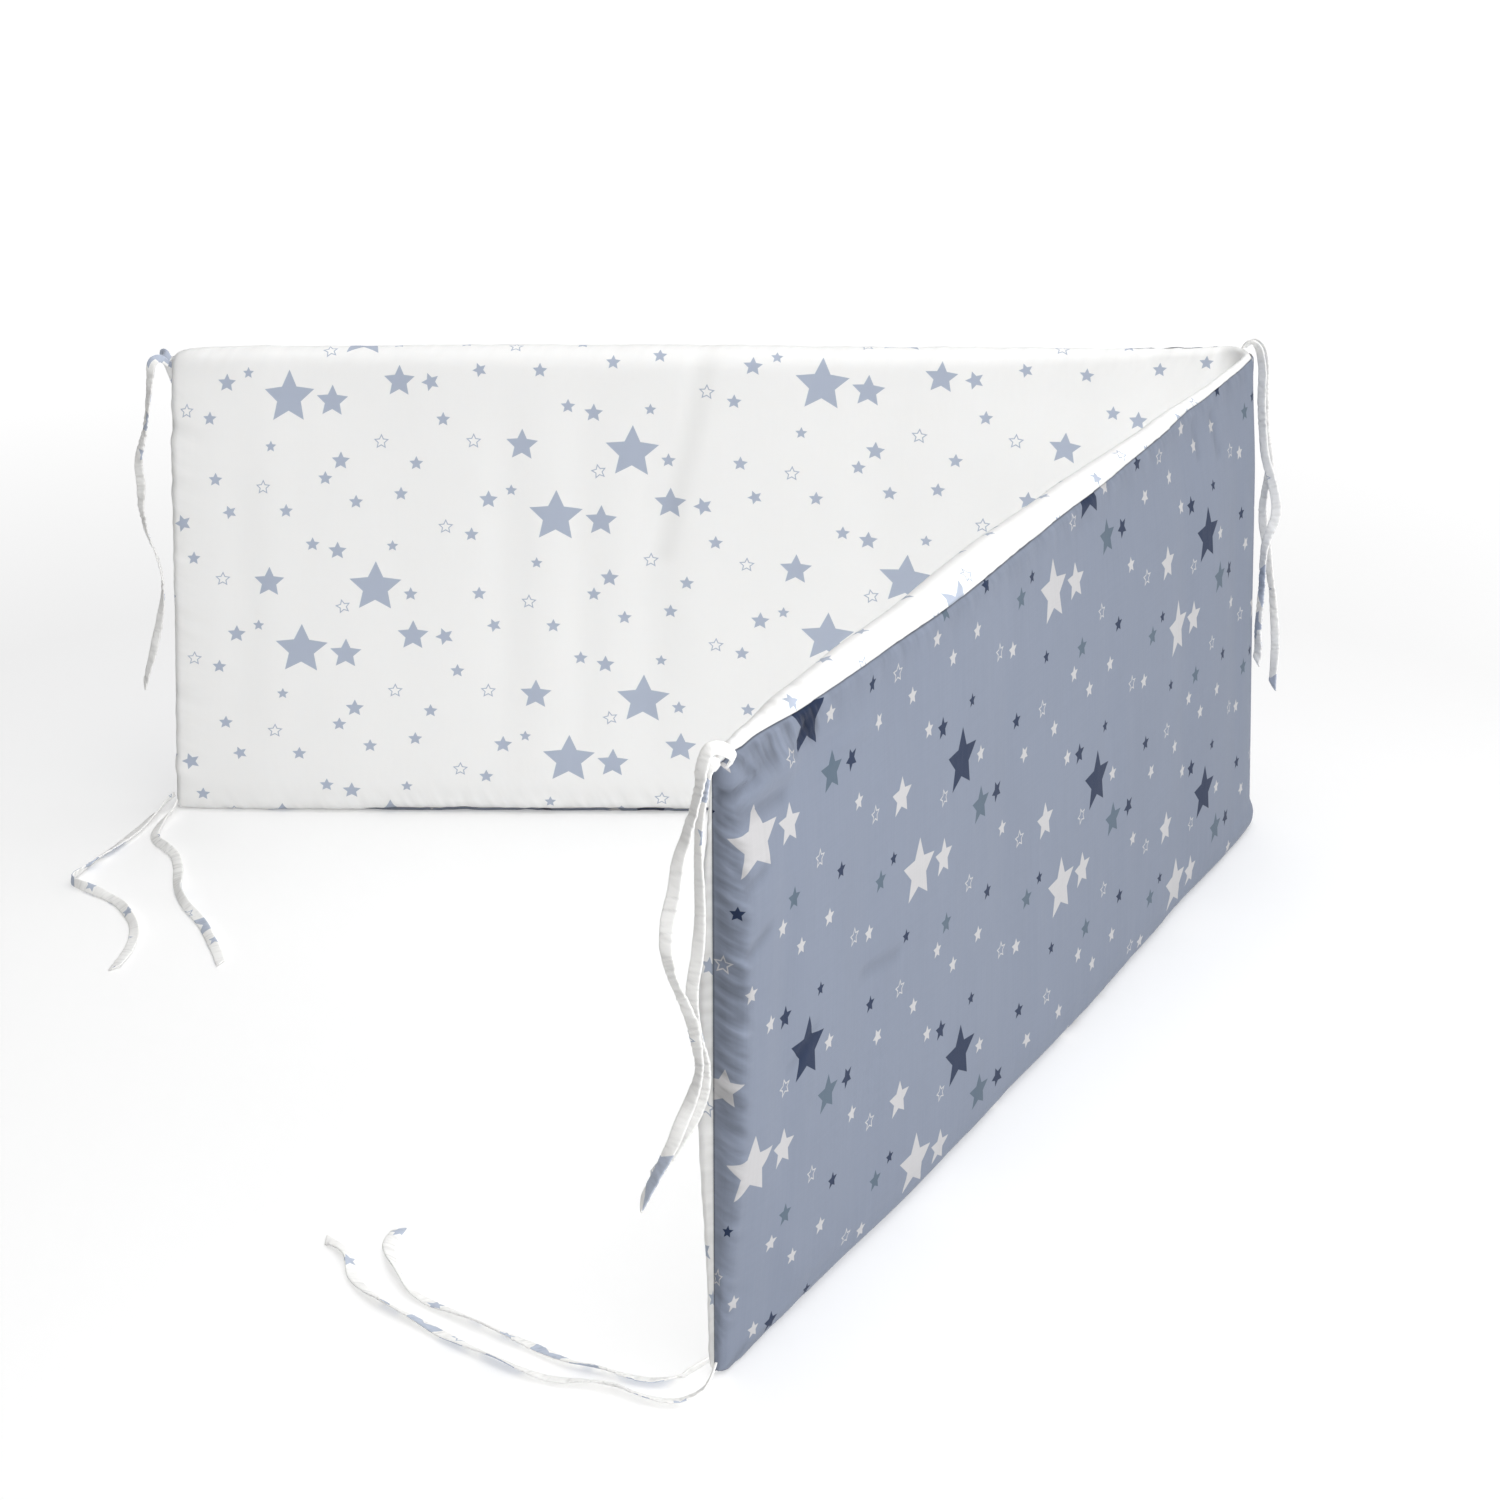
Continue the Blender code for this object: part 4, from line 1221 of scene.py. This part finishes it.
TIES = (
    RibbonTie("left_top_front", Lie.HANGING, (
        (-317.3, 287, 287, 50), (-321, 283, 291.5, 40), (-325.5, 280, 289, 20), (-328, 279, 274, 50),
        (-332, 279, 252, 60), (-338, 279, 232, 35), (-338, 279, 216, 20), (-339, 279, 201, 45),
        (-337, 279, 185, 60), (-333, 279, 172, 75), (-330.5, 279, 159, 80), (-331, 279, 144, 60),
        (-334, 279, 130, 40), (-338, 279, 116, 30), (-342, 279, 102, 45), (-347, 279, 87, 60)),
        length=0.220, print_start=0.02),
    RibbonTie("left_top_back", Lie.HANGING, (
        (-317.2, 293.5, 287.2, 40), (-321, 298, 290.5, 40), (-323, 303, 288, 30), (-320, 307, 277, 10),
        (-316, 308, 262, 0), (-313, 308, 242, 20), (-315, 308, 220, 30), (-318, 308, 198, 10),
        (-318, 308, 176, -10), (-317, 308, 153, -20), (-320, 308, 131, 0), (-324, 308, 109, 20),
        (-327, 308, 88, 25), (-326, 308, 66, 10)),
        length=0.238, print_start=0.31),
    RibbonTie("left_bottom_left", Lie.LYING, (
        (-337.0, 288, 9, 75), (-341.5, 283, 6, 70), (-347, 271, 1, 40), (-353, 250, 1, 15),
        (-361, 227, 1, 25), (-369, 206, 1, 45), (-374, 190, 1, 60), (-377, 178, 1, 80),
        (-371, 170, 1, 75), (-360, 163, 1, 45), (-350, 156, 1, 20), (-342, 147, 1, 25),
        (-335, 134, 1, 40), (-329, 121, 1, 30), (-326, 107, 1, 10), (-326, 92, 1, 5),
        (-329, 70, 1, 10)),
        length=0.248, print_start=0.57),
    RibbonTie("left_bottom_right", Lie.LYING, (
        (-334.3, 281.5, 7.3, 75), (-336, 276.5, 4, 70), (-339, 266, 1, 45), (-341, 254, 1, 25),
        (-341, 243, 1, 20), (-337, 232, 1, 35), (-330, 223, 1, 40), (-323, 213, 1, 20),
        (-318, 197, 1, 10), (-315, 180, 1, 25), (-311, 162, 1, 50), (-304, 146, 1, 40),
        (-296, 134, 1, 15), (-289, 121, 1, 20), (-283, 106, 1, 30), (-276, 90, 1, 10),
        (-271, 76, 1, 0)),
        length=0.224, print_start=0.83),
    RibbonTie("near_top_left", Lie.HANGING, (
        (17.0, -298.6, 287.0, 60), (18.5, -303, 293, 60), (14, -307, 298, 50), (9, -309, 298, 50),
        (6.5, -311, 291, 40), (5, -311, 279, 60), (1, -311, 265, 55), (-3, -311, 251, 35),
        (-5, -311, 237, 25), (-8, -311, 222, 15), (-8, -311, 209, 30), (-5, -311, 197, 45),
        (-1, -311, 187, 35), (2, -311, 177, 30), (4, -311, 165, 45), (4, -311, 154, 60),
        (1, -311, 143, 40), (-3, -311, 132, 20), (-7, -311, 121, 35), (-12, -311, 110, 55),
        (-20, -311, 93, 65)),
        length=0.235, print_start=1.06),
    RibbonTie("near_top_right", Lie.HANGING, (
        (12.3, -298.6, 285.8, 50), (11.5, -303, 290, 50), (8, -305, 286, 40), (6, -304.5, 272, 50),
        (5, -304, 256, 60), (5, -304, 238, 50), (5, -304, 220, 40), (4, -304, 205, 30),
        (2, -304, 192, 30), (2, -304, 181, 35), (4, -304, 168, 45), (6.5, -304, 156, 40),
        (6, -304, 143, 25), (2, -304, 131, 20), (-3, -304, 121, 40), (-8, -304, 112, 50),
        (-16, -304, 100, 40)),
        length=0.204, print_start=1.33),
    RibbonTie("near_bottom_right", Lie.LYING, (
        (7.4, -301.4, 7.6, 75), (0, -305, 5, 65), (-8, -307.5, 1, 40), (-18, -308, 1, 20),
        (-29, -305, 1, 30), (-41, -300, 1, 45), (-54, -295, 1, 30), (-67, -286, 1, 15),
        (-81, -277, 1, 30), (-94, -268, 1, 45), (-107, -259, 1, 30), (-118, -251, 1, 15),
        (-128, -242, 1, 35), (-136, -228, 1, 55), (-141, -214, 1, 30), (-143, -202, 1, 10),
        (-140, -191, 1, 5)),
        length=0.212, print_start=1.57),
    RibbonTie("near_bottom_left", Lie.LYING, (
        (10.3, -303.4, 6.5, 75), (8, -310, 4, 65), (3, -318, 1, 35), (-7, -323, 1, 20),
        (-20, -320, 1, 35), (-33, -313, 1, 50), (-46, -309, 1, 30), (-59, -307, 1, 15),
        (-72, -302, 1, 30), (-86, -293, 1, 45), (-99, -284, 1, 30), (-112, -274, 1, 15),
        (-124, -264, 1, 30), (-137, -254, 1, 45), (-148, -243, 1, 30), (-156, -230, 1, 15),
        (-160, -216, 1, 35), (-166, -206, 1, 20), (-173, -199, 1, 0)),
        length=0.246, print_start=1.81),
    RibbonTie("fold_top_front", Lie.HANGING, (
        (311.1, 263.4, 303.8, 40), (312.4, 259.5, 307, 40), (315, 256, 308, 45), (318.5, 254, 304, 50),
        (321, 253.5, 292, 50), (321.5, 254, 280, 50), (322.5, 254, 267, 50), (324, 254, 255, 50),
        (326, 254, 242, 45), (330, 254, 230, 40), (333, 254, 220, 35), (335, 254, 211, 30),
        (335, 254, 203, 25), (333, 254, 196, 35), (331, 254, 189, 50), (330, 254, 182, 60),
        (330, 254, 171, 65), (330, 254, 158, 65), (330, 254, 145, 60), (330, 254, 131, 60),
        (331, 254, 120, 55), (330.5, 254, 112, 50)),
        length=0.210, print_start=2.08),
    RibbonTie("fold_top_back", Lie.HANGING, (
        (312.1, 267.7, 302.8, 40), (315.5, 266.4, 306, 40), (319, 264, 306.5, 45), (322.5, 262, 300.5, 50),
        (324, 262, 289, 50), (324.5, 262, 278, 50), (325.5, 262, 265, 45), (327, 262, 252, 40),
        (329.5, 262, 241, 40), (331, 262, 231, 50), (330.5, 262, 224, 60), (329.5, 262, 215, 60),
        (329, 262, 206, 50), (330, 262, 195, 40), (332, 262, 187, 35), (334, 262, 178, 45),
        (336, 262, 166, 55), (338.5, 262, 153, 60), (340, 262, 142, 50), (342, 262, 128, 40),
        (343, 262, 114, 45), (343, 262, 102, 55), (343, 262, 93, 50)),
        length=0.226, print_start=2.33),
)


# ---------------------------------------------------------------- camera, floor and light


@dataclass(frozen=True)
class Studio:
    """The camera, a plain pale floor and soft light."""

    camera_place: tuple[float, float, float] = (0.0252, -1.2813, 0.7200)
    camera_pitch_deg: float = 23.46
    camera_lens: float = 65.68
    floor_side: float = 12.0
    floor_colour: tuple[float, float, float] = (0.90, 0.90, 0.90)
    near_glow: float = 0.12  # of the floor, as the camera sees it, by the bumper
    far_glow: float = 0.75  # and further off
    glow_rise: float = 0.6  # of its way from near to far, for each metre
    glow_lag: float = 0.45
    world_strength: float = 0.425
    world_slope: float = 0.36  # how much brighter the room is on the right, and darker on the left

    def add_camera(self) -> None:
        """Adds the camera, which looks along +Y and down."""
        data = bpy.data.cameras.new("camera")
        data.lens = self.camera_lens
        data.sensor_width = 36.0
        data.clip_start = 0.05
        camera = bpy.data.objects.new("camera", data)
        camera.location = self.camera_place
        camera.rotation_euler = (math.radians(90.0 - self.camera_pitch_deg), 0.0, 0.0)
        bpy.context.scene.collection.objects.link(camera)
        bpy.context.scene.camera = camera

    def add_floor(self) -> None:
        """Adds the floor under the bumper, which the camera sees as a white sweep."""
        mesh = bmesh.new()
        bmesh.ops.create_grid(mesh, x_segments=1, y_segments=1, size=self.floor_side / 2)
        data = bpy.data.meshes.new("floor")
        mesh.to_mesh(data)
        mesh.free()
        build = MaterialBuilder("plain_floor")
        reach = build.vector("LENGTH", build.node("ShaderNodeNewGeometry").outputs["Position"])
        far = build.math("MULTIPLY_ADD", reach, self.glow_rise, -self.glow_lag, clamp=True)
        glow = build.math("MULTIPLY_ADD", far, self.far_glow - self.near_glow, self.near_glow)
        seen = build.node("ShaderNodeLightPath").outputs["Is Camera Ray"]
        build.dress(Base_Color=(*self.floor_colour, 1.0), Roughness=0.9, Specular_IOR_Level=0.0,
                     Emission_Color=(1.0, 1.0, 1.0, 1.0), Emission_Strength=build.math("MULTIPLY", glow, seen))
        data.materials.append(build.material)
        floor = bpy.data.objects.new("floor", data)
        bpy.context.scene.collection.objects.link(floor)

    def add_softbox(self, name: str, place: tuple[float, float, float], size: float, power: float,
                    shadows: bool = True) -> None:
        """Adds a square softbox that faces the bumper.

        Args:
            name: The light's name.
            place: Where it is.
            size: Its side.
            power: Its power in watts.
            shadows: Whether it casts shadows.
        """
        data = bpy.data.lights.new(name, "AREA")
        data.shape = "SQUARE"
        data.size = size
        data.energy = power
        data.use_shadow = shadows
        light = bpy.data.objects.new(name, data)
        light.location = place
        light.rotation_euler = (-Vector(place)).to_track_quat("-Z", "Y").to_euler()
        bpy.context.scene.collection.objects.link(light)

    def add_light(self) -> None:
        """Adds the room's even light, a top softbox and a gentle one from the front right."""
        world = bpy.data.worlds.new("studio")
        world.use_nodes = True
        background = world.node_tree.nodes["Background"]
        background.inputs["Color"].default_value = (1.0, 1.0, 1.0, 1.0)
        build = TreeBuilder(world.node_tree)
        split = build.node("ShaderNodeSeparateXYZ")
        build.plug(build.node("ShaderNodeTexCoord").outputs["Generated"], split.inputs[0])
        sloped = build.math("MULTIPLY_ADD", split.outputs["X"], self.world_slope, self.world_strength)
        seen = build.node("ShaderNodeLightPath").outputs["Is Camera Ray"]
        build.plug(build.math("MAXIMUM", sloped, seen), background.inputs["Strength"])
        bpy.context.scene.world = world
        bpy.context.scene.view_settings.view_transform = "Standard"
        self.add_softbox("top_softbox", (0.2, 0.3, 2.6), 2.4, 28.0)
        self.add_softbox("right_softbox", (1.00, -1.30, 1.10), 0.8, 19.0, shadows=False)


def main() -> None:
    """Builds the dressed bumper around the frame."""
    logging.basicConfig(level=logging.INFO)
    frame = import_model()
    LOG.info("frame holds %d nodes", len(frame["nodes"]))
    studio = Studio()
    studio.add_camera()
    star_print = StarPrint().build()
    weave = CottonWeave().build()
    ribbon = RIBBON_CLOTH.build(star_print, weave)
    for tie in TIES:
        piece = tie.build(ribbon)
        LOG.info("%s: %d faces", piece.name, len(piece.data.polygons))
    cloths = [finish.build(star_print, weave) for finish in (INNER_CLOTH, OUTER_CLOTH)]
    panel = PaddedPanel().build(cloths)
    LOG.info("%s: %d faces", panel.name, len(panel.data.polygons))
    studio.add_floor()
    studio.add_light()


if __name__ == "__main__":
    main()
